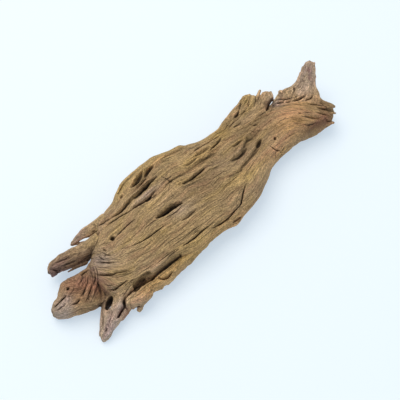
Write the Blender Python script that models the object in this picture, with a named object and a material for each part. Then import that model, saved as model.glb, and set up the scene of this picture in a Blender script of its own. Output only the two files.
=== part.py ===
"""Aquarium driftwood: a flat weathered root that lies on its underside.

A broad trunk lies along +X. Seven limbs fork from it: a horn and a broken stub near the right end, and two
fingers, a knob, a spike and a rail at the left end. Each limb is its own solid, cut where it meets the trunk.
All layout numbers are millimetres, with Z = 0 on the surface that the wood lies on.
"""

import math

import bmesh
import bpy
from mathutils import Matrix, Vector

MM = 0.001
GAP = 0.3  # clearance where a limb is cut by its neighbour
FOOTPRINT_MIDDLE = (12.4, -0.4)  # layout point under the middle of the whole piece, moved to the origin

# Sampling of the lofts
TRUNK_RINGS_EVERY = 8.4
LIMB_RINGS_EVERY = 5.5
TRUNK_SIDES = 52
LIMB_SIDES = 14
CROWN_SHARE = 0.42  # how much closer together the grain lines of the trunk are on top than underneath

# Relief that follows the grain
FLUTE_DEPTH = 3.0  # of the valleys between the grain ridges of the trunk
LUMP_HEIGHT = 1.8
LIMB_RELIEF = 1.1  # share of that relief on the limbs
FULL_RELIEF_AT = 16.0  # half height of a section from which the relief is full; it is less on thinner wood
TRUNK_SQUARENESS = (2.7, 2.2)  # superellipse powers of the crown and of the underside
LIMB_SQUARENESS = (2.3, 2.3)

WOOD = (0.38, 0.27, 0.15, 1.0)
GREY_WOOD = (0.25, 0.19, 0.14, 1.0)
RED_WOOD = (0.33, 0.20, 0.13, 1.0)
PALE_WOOD = (0.40, 0.28, 0.19, 1.0)
WOOD_ROUGHNESS = 0.86

# Every loft is a list of sections: distance along, left edge, right edge, top and underside.
# The trunk and the left limbs are measured along X, with the far edge on the left.
TRUNK = [
    (-127, -2, -33, 33, 15),
    (-122, 5, -37, 35.5, 9),
    (-115, 10, -40, 37, 6),
    (-107, 18, -42, 38, 3),
    (-99, 27, -43, 39, 1),
    (-91, 36, -43.5, 40, -0.5),
    (-80, 39, -43.5, 40.5, -1.5),
    (-66, 42, -44, 41, -1.5),
    (-57, 48, -45, 41.5, -1),
    (-48, 54.5, -48, 42, 0.5),
    (-36, 58, -51, 42.5, 2),
    (-16, 60, -50, 42.5, 1),
    (-4, 60.5, -50, 42.5, -0.5),
    (6, 58, -51, 42, -1),
    (15, 56, -53.5, 41.5, -1),
    (25, 54.5, -51.5, 41, 0),
    (36, 51, -49.5, 40, 1.5),
    (50, 45, -46, 38.5, 3),
    (62, 42, -40.5, 37.5, 3.5),
    (75, 36, -34, 36.5, 3),
    (88, 31, -28, 36, 2),
    (100, 28, -25.5, 36.5, 0.5),
    (115, 25, -24, 37.5, -1),
    (130, 21, -24.5, 38.5, -1.5),
    (142, 16, -28.5, 38.5, -1.5),
    (152, 12, -30.5, 37, -1),
    (161, 8, -31.5, 34.5, 0.5),
    (170, 5, -31, 31, 3),
    (177, 1, -28, 27.5, 6),
    (183, -3, -24, 24, 9),
    (189, -8, -20, 20.5, 12.5),
]
LIMBS = {
    "horn": {
        "origin": (172, 4), "heading": 41, "colour": PALE_WOOD,
        "sections": [(-12, 31, -4, 30, 10), (-5, 36, -7, 33, 9), (2, 34, -9, 34.5, 10), (6, 28, -9.5, 33, 11.5),
                     (10.5, 22, -9, 33.5, 14), (17, 16, -7.5, 36, 18.5), (25, 12.5, -6.2, 40, 25),
                     (31, 10, -5.5, 43.5, 30), (36, 8.6, -5, 46, 33.5), (39.5, 5.5, -3.6, 46.5, 36.5)],
    },
    "broken_stub": {
        "origin": (85, 22), "heading": 30, "colour": WOOD,
        "sections": [(-8, 19, 2, 31, 18), (0, 20, -2, 33, 18), (10, 18, -8, 35.5, 20), (20, 15, -14, 38, 22.5),
                     (30, 11, -20, 41, 25.5), (40, 6, -22, 43.5, 29), (47, -6, -22.5, 45, 32),
                     (53, -15, -23, 45, 34.5)],
    },
    "upper_finger": {
        "origin": (0, 0), "heading": 180, "colour": GREY_WOOD,
        "sections": [(82, -24, -39, 33, 12), (92, -27, -40.5, 32, 12), (100, -29, -41, 31, 12),
                     (108, -31.5, -41, 29, 13), (115, -33.8, -39.8, 26, 14.5), (120, -34.8, -38, 23.5, 16),
                     (124, -35.2, -36.6, 21.5, 18)],
    },
    "long_finger": {
        "origin": (0, 0), "heading": 180, "colour": GREY_WOOD,
        "sections": [(100, -10, -28, 33, 8), (112, -11, -30, 31, 7), (121, -12.5, -32.5, 29, 6.5),
                     (131, -14.5, -34.5, 27, 6.5), (141, -17.5, -35.2, 25.5, 7), (149, -19.5, -34.5, 24, 7.5),
                     (154, -20, -32, 22.5, 8.5), (158, -20.5, -28, 20, 10.5)],
    },
    "knob": {
        "origin": (0, 0), "heading": 180, "colour": RED_WOOD,
        "sections": [(108, 29, -7, 30, 5), (120, 30, -7, 29.5, 3), (130, 30, -8, 29, 1), (140, 29.5, -10.5, 29, 0),
                     (149, 28, -12, 28.5, -1), (155, 26.5, -11.5, 27.5, -1), (160, 25, -6.5, 25.5, -1),
                     (165, 23, -2.2, 22.5, -0.5), (170, 20.5, -1, 19.5, 0), (174.5, 16, 1, 16.5, 1),
                     (178.5, 10.5, 5, 12.5, 4)],
    },
    "spike": {
        "origin": (0, 0), "heading": 180, "colour": GREY_WOOD,
        "sections": [(108, 52, 27, 25, 6), (120, 53.5, 26, 22.5, 4), (129, 55, 27, 20, 3), (136, 56.5, 31.5, 18, 2),
                     (142, 58, 38, 15, 1), (149, 60.5, 47, 11.5, 0), (154, 61, 52.5, 9, -0.5),
                     (158.5, 60, 56.5, 6, 1)],
    },
    "side_rail": {
        "origin": (0, 0), "heading": 180, "colour": WOOD,
        "sections": [(36, 51.5, 42, 25, 7), (45, 53.5, 41, 26, 5), (58, 54.5, 40.5, 26.5, 4.5), (70, 55, 40.5, 26.5, 4),
                     (78, 55.5, 40.5, 26, 4), (82, 54.5, 41, 26.5, 5), (92, 55, 41, 26.5, 5),
                     (106, 54.5, 41, 25.5, 5.5), (115, 53.5, 41.5, 24, 6), (120.5, 51.5, 43, 22, 8)],
    },
}
HEEL = {
    "origin": (-101, -53), "heading": 206,
    "sections": [(0, 3.4, -3.4, 15, 5), (7, 3.6, -3.4, 13, 4), (14, 3.2, -3, 11, 4), (17, 2.2, -2, 9.5, 5)],
}

# Grooves and slots: points along the bottom of the groove, then half width and depth at its middle
GROOVES = {
    "trunk": {
        "slot": ([(-47, -4.5), (-33, -6.5), (-19, -8.5)], 42.5, 3.0, 10),
        "long_groove": ([(-76, 22), (-58, 23.5), (-40, 28), (-15, 31.5)], 42, 2.8, 8),
        "short_groove": ([(-60, 16.5), (-42, 19), (-22, 21.5)], 42.5, 2.2, 7),
        "neck_groove": ([(32, -16), (48, -15.5), (64, -13), (78, -10.5), (91, -6.5)], 38, 3.0, 9),
        "ridge_groove": ([(54, -5.5), (66, -4.5), (77, -3.5)], 38.5, 2.0, 6),
        "flank_crack": ([(20, -46), (29, -43.5), (37, -37), (52, -32)], 36.5, 1.8, 7),
        "rail_side_crack": ([(-52, -44.5), (-30, -44), (-8, -45.5), (4, -47)], 35.5, 1.6, 6),
        "upper_crack": ([(-92, 5), (-80, 6.2), (-62, 7.8)], 41.5, 1.5, 5),
        "snout_gash": ([(142, -12), (150, -18), (157, -25)], 38.5, 1.8, 6),
        "snout_crease": ([(132, 15), (150, 8), (166, -1), (178, -13)], 37.5, 2.0, 8),
        "plate_crack": ([(-128, -14), (-119, -20), (-109, -27)], 37, 1.6, 6),
    },
    "knob": {
        "mouth": ([(-174, -5.5), (-163, -3.5), (-153, -1)], 24, 1.6, 8),
        "brow_crack": ([(-134, 4.5), (-122, 5.5)], 28.5, 1.6, 5),
    },
    "long_finger": {
        "finger_crack": ([(-150, 27), (-132, 26.5), (-118, 24)], 28, 1.6, 5),
    },
}
# Round-ended hollows: centre, heading in degrees, half length, half width and half depth
HOLLOWS = {
    "trunk": {
        "shelf_cavity": ((-27, 43, 37), 12, 15, 4.6, 9),
        "neck_pit": ((87, -7.5, 36), 20, 6, 3.6, 9),
        "upper_pit": ((71, 6.5, 38), -12, 5.5, 2.4, 6),
        "rail_pit": ((-97, -41.5, 33), 6, 14, 4.4, 10),
        "worm_hole": ((-92.5, 5.5, 40), 10, 3.4, 2.8, 8),
    },
    "knob": {"eye": ((-152, 1, 27), 0, 1.9, 1.7, 6)},
    "spike": {"web_hole": ((-132, -37, 15), 28, 6.5, 3.2, 60)},
}


def clear_scene():
    for old in list(bpy.data.objects):
        bpy.data.objects.remove(old)


def wood_material(name, colour):
    material = bpy.data.materials.new(name)
    material.use_nodes = True
    shader = material.node_tree.nodes["Principled BSDF"]
    shader.inputs["Base Color"].default_value = colour
    shader.inputs["Roughness"].default_value = WOOD_ROUGHNESS
    shader.inputs["Metallic"].default_value = 0.0
    return material


def monotone_slope(before, at, after):
    """Slope of a smooth curve at its middle point: none at a peak, so that the curve never overshoots."""
    left = (at[1] - before[1]) / max(at[0] - before[0], 1e-6)
    right = (after[1] - at[1]) / max(after[0] - at[0], 1e-6)
    return 0.0 if left * right <= 0 else 2 * left * right / (left + right)


def smooth_between(rows, at):
    """The values of the rows at one distance, on smooth curves through every row."""
    last = len(rows) - 1
    k = max(i for i in range(last) if i == 0 or rows[i][0] <= at)
    around = [rows[min(max(i, 0), last)] for i in (k - 1, k, k + 1, k + 2)]
    span = around[2][0] - around[1][0]
    t = min(max((at - around[1][0]) / span, 0.0), 1.0)
    values = []
    for column in range(1, len(rows[0])):
        p = [(row[0], row[column]) for row in around]
        leaving = monotone_slope(p[0], p[1], p[2]) * span
        arriving = monotone_slope(p[1], p[2], p[3]) * span
        values.append(
            (1 + 2 * t) * (1 - t) ** 2 * p[1][1] + t * (1 - t) ** 2 * leaving
            + t * t * (3 - 2 * t) * p[2][1] + t * t * (t - 1) * arriving
        )
    return values


def spread(start, end, every):
    """Distances from start to end, with a closer pair at each end where the section draws in."""
    count = max(2, round((end - start - every) / every))
    inner = [start + every / 2 + (end - start - every) * i / count for i in range(count + 1)]
    return [start, *inner, end]


def grain_relief(along, line, angle, seed):
    """Height of the grain at a distance along one of the lines that run the length of a loft.

    Every other line is a valley, which deepens and fades along its length; broad lumps lie under them.
    """
    fade = math.sin(along / (15 + 7 * math.sin(3.7 * line + seed)) + 12.9 * line + 7.8 * seed)
    valley = -FLUTE_DEPTH * max(fade + 0.35, 0) if line % 2 else 0.35 * FLUTE_DEPTH * fade
    lump = math.sin(along / 17 + 2 * angle + seed) * math.sin(along / 27 - angle + 2 * seed)
    return valley + LUMP_HEIGHT * lump


def section_point(angle, half_width, half_height, powers, offset):
    """A point of a superellipse, which has its own power above and below its middle, moved along its normal."""
    power = powers[0] if math.sin(angle) >= 0 else powers[1]
    c, s = math.cos(angle), math.sin(angle)
    side = math.copysign(abs(c) ** (2 / power), c)
    rise = math.copysign(abs(s) ** (2 / power), s)
    normal = Vector((
        math.copysign(abs(side) ** (power - 1), side) / half_width,
        math.copysign(abs(rise) ** (power - 1), rise) / half_height,
    )).normalized()
    return half_width * side + normal.x * offset, half_height * rise + normal.y * offset


def in_metres(x, y, z):
    """A layout point about the origin, where what would lie below the surface is worn flat on it."""
    return Vector(((x - FOOTPRINT_MIDDLE[0]) * MM, (y - FOOTPRINT_MIDDLE[1]) * MM, max(z, 0.0) * MM))


def closed_loft(name, rings, colour):
    """A closed mesh object through the rings, with a flat cap at each end.

    Its sides are triangles, so that a wood loft and its swollen clearance bend in the same places.
    """
    bm = bmesh.new()
    rows = [[bm.verts.new(point) for point in ring] for ring in rings]
    sides = len(rows[0])
    for a, b in zip(rows, rows[1:]):
        for i in range(sides):
            j = (i + 1) % sides
            bm.faces.new((a[i], a[j], b[j]))
            bm.faces.new((a[i], b[j], b[i]))
    bm.faces.new(rows[0][::-1])
    bm.faces.new(rows[-1])
    bmesh.ops.recalc_face_normals(bm, faces=bm.faces)
    mesh = bpy.data.meshes.new(name)
    bm.to_mesh(mesh)
    bm.free()
    made = bpy.data.objects.new(name, mesh)
    made.data.materials.append(wood_material(name + "_wood", colour))
    bpy.context.scene.collection.objects.link(made)
    return made


def wood_loft(name, sections, origin=(0, 0), heading=0, colour=WOOD, seed=0, trunk=False, grow=0.0):
    """A limb, or the trunk, through its sections; grow swells it by the clearance that a neighbour keeps."""
    start, end = sections[0][0], sections[-1][0]
    c, s = math.cos(math.radians(heading)), math.sin(math.radians(heading))
    sides = TRUNK_SIDES if trunk else LIMB_SIDES
    powers = TRUNK_SQUARENESS if trunk else LIMB_SQUARENESS
    rings = []
    for along in spread(start, end, TRUNK_RINGS_EVERY if trunk else LIMB_RINGS_EVERY):
        left, right, top, bottom = smooth_between(sections, along)
        at_end = along in (start, end)
        drawn = 0.72 if at_end else 1.0
        half_width, half_height = (left - right) / 2 * drawn, (top - bottom) / 2 * drawn
        relief_share = (1.0 if trunk else LIMB_RELIEF) * min(1.0, min(half_width, half_height) / FULL_RELIEF_AT)
        outward = (grow if along == end else -grow if along == start else 0.0) + along
        ring = []
        for line in range(sides):
            angle = 2 * math.pi * line / sides
            if trunk:
                angle += CROWN_SHARE * math.cos(angle)
            relief = 0.0 if at_end else relief_share * grain_relief(along, line, angle, seed)
            v, w = section_point(angle, half_width, half_height, powers, relief + grow)
            v += (left + right) / 2
            w += (top + bottom) / 2
            ring.append(in_metres(origin[0] + outward * c - v * s, origin[1] + outward * s + v * c, w))
        rings.append(ring)
    return closed_loft(name, rings, colour)


def groove_cutter(name, points, surface, half_width, depth):
    """A slim boat-shaped cutter that follows the points along the grain."""
    rows = [(x, y) for x, y in points]
    start, end = rows[0][0], rows[-1][0]
    count = max(4, round((end - start) / 6))
    rings = []
    for i in range(count + 1):
        t = i / count
        x = start + (end - start) * t
        (y,) = smooth_between(rows, x)
        open_share = 0.25 + 0.75 * math.sqrt(math.sin(math.pi * min(max(t, 0.001), 0.999)))
        rings.append([
            in_metres(x, y + half_width * open_share * math.cos(a), surface + depth * open_share * math.sin(a))
            for a in [math.pi / 4 * k + math.pi / 8 for k in range(8)]
        ])
    return closed_loft(name, rings, WOOD)


def hollow_cutter(name, centre, heading, half_length, half_width, half_depth):
    mesh = bpy.data.meshes.new(name)
    bm = bmesh.new()
    bmesh.ops.create_uvsphere(bm, u_segments=10, v_segments=7, radius=1.0)
    bmesh.ops.rotate(bm, verts=bm.verts, matrix=Matrix.Rotation(math.radians(90), 3, "Y"))
    bmesh.ops.scale(bm, verts=bm.verts, vec=Vector((half_length, half_width, half_depth)) * MM)
    bmesh.ops.rotate(bm, verts=bm.verts, matrix=Matrix.Rotation(math.radians(heading), 3, "Z"))
    bmesh.ops.translate(bm, verts=bm.verts, vec=in_metres(*centre))
    bm.to_mesh(mesh)
    bm.free()
    cutter = bpy.data.objects.new(name, mesh)
    bpy.context.scene.collection.objects.link(cutter)
    return cutter


def combine(target, helper, operation):
    """Leaves a Boolean modifier on the target; the helper is only a guide."""
    helper.hide_render = True
    helper.display_type = "WIRE"
    cut = target.modifiers.new(operation.lower() + "_" + helper.name, "BOOLEAN")
    cut.operation = operation
    cut.solver = "EXACT"
    cut.object = helper


def limb_loft(name, limb, seed, helper_name=None, grow=0.0):
    return wood_loft(
        helper_name or name, limb["sections"], limb["origin"], limb["heading"], limb.get("colour", WOOD), seed, grow=grow
    )


def build():
    clear_scene()
    nodes = {"trunk": wood_loft("trunk", TRUNK, trunk=True)}
    for seed, (name, limb) in enumerate(LIMBS.items(), start=1):
        nodes[name] = limb_loft(name, limb, seed)
    heel_seed = len(LIMBS) + 1
    combine(nodes["side_rail"], limb_loft("heel", HEEL, heel_seed), "UNION")

    keep_clear = wood_loft("trunk_clearance", TRUNK, trunk=True, grow=GAP)
    for name in LIMBS:
        combine(nodes[name], keep_clear, "DIFFERENCE")
    seeds = {name: seed for seed, name in enumerate(LIMBS, start=1)}
    for name, neighbours in {"spike": ("knob", "side_rail"), "horn": ("broken_stub",)}.items():
        for other in neighbours:
            clearance = limb_loft(other, LIMBS[other], seeds[other], f"{other}_clearance_by_{name}", GAP)
            combine(nodes[name], clearance, "DIFFERENCE")
    combine(nodes["spike"], limb_loft("heel", HEEL, heel_seed, "heel_clearance", GAP), "DIFFERENCE")

    for node, grooves in GROOVES.items():
        for name, groove in grooves.items():
            combine(nodes[node], groove_cutter(name + "_cutter", *groove), "DIFFERENCE")
    for node, hollows in HOLLOWS.items():
        for name, hollow in hollows.items():
            combine(nodes[node], hollow_cutter(name + "_cutter", *hollow), "DIFFERENCE")
    for node in nodes.values():
        node.data.shade_smooth()


build()
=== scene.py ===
import math
from itertools import product

import bpy
import numpy as np
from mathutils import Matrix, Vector


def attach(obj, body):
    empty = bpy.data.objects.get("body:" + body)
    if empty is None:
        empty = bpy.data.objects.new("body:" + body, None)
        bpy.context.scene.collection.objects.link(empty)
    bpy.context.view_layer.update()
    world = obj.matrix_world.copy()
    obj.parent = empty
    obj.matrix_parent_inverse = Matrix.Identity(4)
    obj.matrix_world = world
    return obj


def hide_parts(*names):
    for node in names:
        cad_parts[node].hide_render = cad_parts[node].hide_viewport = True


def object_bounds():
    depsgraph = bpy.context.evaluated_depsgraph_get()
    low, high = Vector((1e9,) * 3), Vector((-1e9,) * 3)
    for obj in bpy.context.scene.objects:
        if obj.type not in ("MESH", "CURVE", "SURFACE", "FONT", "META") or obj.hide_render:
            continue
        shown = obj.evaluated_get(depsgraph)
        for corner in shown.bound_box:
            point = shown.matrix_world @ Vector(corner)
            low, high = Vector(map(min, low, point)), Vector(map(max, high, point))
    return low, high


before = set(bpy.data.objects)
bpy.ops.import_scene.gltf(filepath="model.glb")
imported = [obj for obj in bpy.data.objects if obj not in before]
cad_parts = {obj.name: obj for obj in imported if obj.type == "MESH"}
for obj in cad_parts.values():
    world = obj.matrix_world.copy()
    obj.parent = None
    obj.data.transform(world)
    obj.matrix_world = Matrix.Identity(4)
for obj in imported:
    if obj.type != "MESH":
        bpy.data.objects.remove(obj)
cadLow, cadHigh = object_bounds()

mm = 0.001
planMiddle = (12.4, -0.4)  # plan point that stands over the origin of the frame
planShift = np.array([*planMiddle, 0])

grid = {
    "low": (-180.5, -64.0, -1.6),
    "high": (205.5, 63.2, 48.0),
    "step": (0.9, 0.75, 0.75),
    "quickStep": (1.5, 1.3, 1.3),
    "mostTriangles": 190000,  # of one piece
    "inset": 0.15,  # kept free inside the box of the solids
}

# Every wood is a list of sections: distance along, left edge, right edge, top and underside.
# A grain layer is its length, width and depth, and the share of the width that a valley takes. A share of 0
# makes soft swells.
trunk = {
    "node": "trunk", "slot": "weathered_wood", "origin": (0, 0), "heading": 0, "powers": (2.8, 2.2),
    "sections": [
        (-131, -10, -30, 29.5, 18), (-127, -3, -33, 33, 14), (-122, 5, -36.5, 35.5, 9),
        (-115, 10, -39.5, 37, 6), (-107, 18, -41.5, 38, 3), (-99, 27, -42.5, 39, 1),
        (-91, 36, -43, 40, -0.5), (-80, 39, -46, 40.5, -1.5), (-66, 43, -46.5, 41, -1.5),
        (-57, 48.6, -47, 41.5, -1), (-48, 53, -49.5, 42, 0.5), (-36, 55.2, -52.4, 42.5, 2),
        (-16, 57, -52, 42.5, 1), (-4, 57.6, -51.4, 42.5, -0.5), (6, 55.6, -52, 42, -1),
        (15, 53.2, -54.6, 41.5, -1), (27, 51, -51.5, 41, 0), (31, 47.4, -51, 40.6, 1),
        (36, 45.6, -50.5, 40, 1.5), (50, 41, -47.8, 38.5, 3), (62, 40, -42.6, 37.5, 3.5),
        (75, 36, -35.8, 36.5, 3), (88, 31, -28.4, 36, 2), (100, 28, -25.5, 36.5, 0.5),
        (115, 25, -24, 37.5, -1), (130, 21, -23.4, 38.5, -1.5), (142, 16, -25.6, 38.5, -1.5),
        (152, 12, -27.8, 37, -1), (161, 8, -30.2, 34.5, 0.5), (170, 5, -31, 31, 3), (177, 1, -28, 27.5, 6),
        (183, -3, -24, 24, 9), (189, -8, -20, 20.5, 12.5),
    ],
    "endRound": 1.2, "ragged": (6.0, 3.0, 2.4), "startRound": 4.0, "raggedStart": (2.4, 3.6, 3.0),
    "spreadWidth": 45, "wander": 1.5, "force": 0.68, "lumps": (11, 0.5), "seed": 11,
    "grain": [
        (70, 17, 1.1, 0), (110, 10, 1.9, 0.34), (100, 5.4, 1.3, 0.42), (80, 3.2, 0.8, 0.5),
        (50, 2.1, 0.4, 0.5),
    ],
}
horn = {
    "node": "horn", "slot": "pale_wood", "origin": (172, 4), "heading": 41, "powers": (5, 3), "blend": 5,
    "sections": [
        (-29, 46, 6, 28, 14), (-21, 45, -6, 30.5, 11), (-14, 40.6, -10, 32.5, 10), (-7, 37.4, -12.5, 34, 9.5),
        (0, 34, -11.5, 35.5, 10), (6, 28.6, -11, 34, 11.5), (10.5, 22.5, -9, 33.5, 14),
        (17, 17.2, -6, 35, 18.5), (25, 13.8, -4.6, 38.8, 25), (31, 12.2, -3.4, 41.8, 30),
        (36, 11.2, -2.6, 44, 33.5), (46, 10.4, -2.2, 44.4, 35),
    ],
    "endRound": 0.6, "ragged": (0.6, 2.4, 4.0), "spreadWidth": 14, "wander": 1.2, "force": 0.62,
    "lumps": (12, 0.3), "seed": 23, "breakLine": [
        (-3, 36.8), (-1.4, 37.6), (2, 37.2), (4.4, 38.2), (6.4, 37.4), (9, 35.2), (11, 33),
    ],
    "grain": [(40, 12, 0.5, 0), (60, 6.5, 1.6, 0.42), (44, 3.8, 1.2, 0.5), (26, 2.2, 0.8, 0.5)],
}
brokenStub = {
    "node": "broken_stub", "slot": "weathered_wood", "origin": (85, 22), "heading": 30, "powers": (4.0, 2.6),
    "blend": 5,
    "sections": [
        (-8, 19.5, 2, 31, 18), (0, 20, -2, 33, 18), (10, 16.6, -10, 36, 20), (20, 12.6, -17.5, 39, 22.5),
        (28, 9, -22.5, 41, 25), (36, 8, -25.5, 43.2, 28), (56, 8, -26, 44.8, 34),
    ],
    "endRound": 0.4, "ragged": (0.5, 2.4, 7.0), "spreadWidth": 15, "wander": 1.0, "force": 0.8,
    "lumps": (7, 0.5), "seed": 37,
    "cleanFrom": 32, "breakLine": [
        (-28, 41), (-25, 43.4), (-23.4, 46.4), (-20.6, 49.8), (-12, 46.8), (-11.4, 45.6), (-10.9, 42.4),
        (-8, 42.2), (-7.4, 40), (0.2, 40), (5.4, 37.4), (7.1, 35.4), (9, 29),
    ],
    "grain": [(50, 10, 1.2, 0), (64, 5.5, 1.9, 0.4), (44, 3.4, 1.2, 0.5), (24, 2.1, 0.7, 0.5)],
}
upperFinger = {
    "node": "upper_finger", "slot": "grey_wood", "origin": (0, 0), "heading": 180, "powers": (2.3, 2.3),
    "blend": 3,
    "sections": [
        (82, -24, -37, 36.5, 12), (92, -25, -37.6, 34, 14), (100, -25.4, -37.8, 31.5, 20),
        (106, -27.2, -38, 29.8, 22), (111, -29.4, -37.8, 27.6, 21.6), (116, -31.2, -37.2, 25.4, 20.2),
        (120, -32.4, -36.4, 23.5, 19), (124, -33.4, -35.2, 21.5, 18),
    ],
    "endRound": 1.0, "ragged": (2.0, 2.0, 3.0), "spreadWidth": 7, "wander": 1.0, "force": 0.9,
    "lumps": (7, 0.5), "seed": 41,
    "grain": [(50, 6, 1.5, 0.42), (34, 3.4, 1.1, 0.5), (22, 2.1, 0.6, 0.5)],
}
longFinger = {
    "node": "long_finger", "slot": "grey_wood", "origin": (0, 0), "heading": 180, "powers": (2.5, 2.3),
    "blend": 4,
    "sections": [
        (100, -10, -24, 37.5, 8), (110, -11, -25, 34.6, 7), (121, -12.6, -29, 30.5, 6.5),
        (131, -15.4, -32.6, 28, 6.5), (141, -18.6, -34.4, 26, 7), (149, -20.4, -33.8, 24.5, 7.5),
        (154, -20.4, -30.4, 23, 8.5), (158.5, -20.6, -26.5, 20.5, 10.5),
    ],
    "endRound": 1.6, "ragged": (3.0, 2.6, 4.0), "spreadWidth": 10, "wander": 1.2, "force": 1.1,
    "lumps": (9, 0.9), "seed": 53,
    "grain": [(30, 8, 1.3, 0), (50, 5.5, 1.9, 0.42), (34, 3.3, 1.3, 0.5), (20, 2.1, 0.8, 0.5)],
}
knob = {
    "node": "knob", "slot": "reddish_wood", "origin": (0, 0), "heading": 180, "powers": (2.4, 2.3),
    "blend": 1.2,
    "sections": [
        (108, 30, -10, 30, 5), (120, 31.5, -7.8, 29.5, 3), (130, 32.5, -6.2, 29, 1), (140, 32, -7.6, 29, 0),
        (149, 28.6, -9.4, 28.5, -1), (155, 25.8, -9.6, 27.8, -1), (160, 24, -5.0, 26.6, -1),
        (165, 22, -1.6, 24.5, -0.5), (170, 19.6, 0.2, 22, 0), (174.5, 15.4, 2.6, 18.5, 1),
        (178, 10.5, 5.5, 14, 4),
    ],
    "endRound": 3.0, "ragged": (1.5, 4.0, 5.0), "spreadWidth": 18, "wander": 1.6, "force": 0.85,
    "lumps": (8, 1.0), "seed": 67,
    "grain": [(26, 11, 1.2, 0), (34, 6.0, 0.8, 0.42), (34, 3.6, 1.1, 0.5), (30, 2.2, 1.3, 0.5)],
}
spike = {
    "node": "spike", "slot": "grey_wood", "origin": (0, 0), "heading": 180, "powers": (2.4, 2.3), "blend": 5,
    "sections": [
        (108, 50, 27, 30, 6), (120, 52, 25, 28, 4), (129, 54, 25.5, 24, 3), (136, 56.5, 30.4, 19.5, 2),
        (142, 57.8, 36, 15.5, 1), (149, 59, 43.6, 12, 0), (154, 59.2, 49, 9.5, -0.5),
        (158.6, 59.4, 53, 6.5, 1),
    ],
    "endRound": 3.0, "ragged": (0.8, 3.0, 4.0), "spreadWidth": 11, "wander": 1.4, "force": 0.6,
    "lumps": (7, 0.9), "seed": 71,
    "grain": [(30, 7, 1.1, 0), (40, 5, 1.5, 0.42), (28, 3.3, 1.1, 0.5), (18, 2.1, 0.7, 0.5)],
}
sideRail = {
    "node": "side_rail", "slot": "weathered_wood", "origin": (0, 0), "heading": 180, "powers": (2.5, 2.3),
    "blend": 1.0,
    "sections": [
        (6, 48, 41, 19, 9), (22, 51, 41.5, 22.5, 8), (36, 52.6, 42.5, 25, 7), (45, 53.8, 43, 26, 5),
        (58, 54.8, 44, 26.5, 4.5), (66, 56.2, 44, 26, 5), (70, 56.4, 44, 26.5, 4), (75, 56, 44, 26, 4),
        (81, 55.4, 44, 26.5, 5), (87, 54.8, 43.6, 26.5, 5), (91, 54.2, 43.2, 26.5, 5),
        (96, 56.4, 43, 26.5, 5), (102, 58, 43, 26, 5), (109, 57, 43.2, 25.5, 5.5),
        (114, 54.6, 43.2, 25, 6.5), (119.5, 52, 44.2, 24, 8),
    ],
    "endRound": 3.4, "ragged": (1.2, 3.0, 4.0), "spreadWidth": 8, "wander": 1.0, "force": 0.9,
    "lumps": (6, 0.8), "seed": 83,
    "grain": [(34, 7, 1.1, 0), (50, 4.6, 1.2, 0.42), (30, 3.1, 0.9, 0.5), (18, 2.1, 0.6, 0.5)],
}
limbs = [horn, brokenStub, upperFinger, longFinger, knob, spike, sideRail]
woods = [trunk, *limbs]

# Thin pieces that stand off a wood: both ends, and the radius at each end
splinters = [
    (brokenStub, (112, 29, 38), (129.8, 38, 42.8), 2.4, 1.4),
    (horn, (150, 22, 30), (149.4, 25.6, 36), 4.4, 2.8),
    (horn, (176, 25, 32), (182.5, 30.2, 37), 2.6, 1.2),
    (trunk, (158, -1, 30), (175, -15, 29.5), 3.4, 2.4),
    (trunk, (172, -12, 28), (183.4, -21.6, 29), 2.8, 1.4),
    (trunk, (168, -16, 25), (181, -26, 23.5), 2.4, 1.3),
    (trunk, (160, -24, 21), (173.5, -31.5, 19), 2.6, 1.5),
    (longFinger, (-122, 12.6, 15), (-141, 15.4, 15), 1.9, 1.0),
    (spike, (-121, -48, 9), (-130, -52, 8), 4.8, 3.4),
    (longFinger, (-108, 24.4, 19), (-121.6, 30.4, 18), 1.3, 0.9),
    (upperFinger, (-111, 29, 19), (-121.8, 34, 19), 0.9, 0.8),
    (sideRail, (-104, -52, 12), (-112.6, -57, 9), 3.6, 2.2),
    (sideRail, (-108, -49, 12), (-115.4, -51, 9), 3.4, 2.2),
    (trunk, (-84, -42, 11), (-118, -42.5, 11), 6.0, 6.0),
    (trunk, (173, -1, 28), (182, -19, 28.8), 4.0, 2.4),
    (trunk, (14, -46, 27), (19.5, -52, 27), 3.2, 1.6),
]

splinterBlend = 1.6
splinterSkin = {"relief": 0.3, "blend": 1.0}

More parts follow.
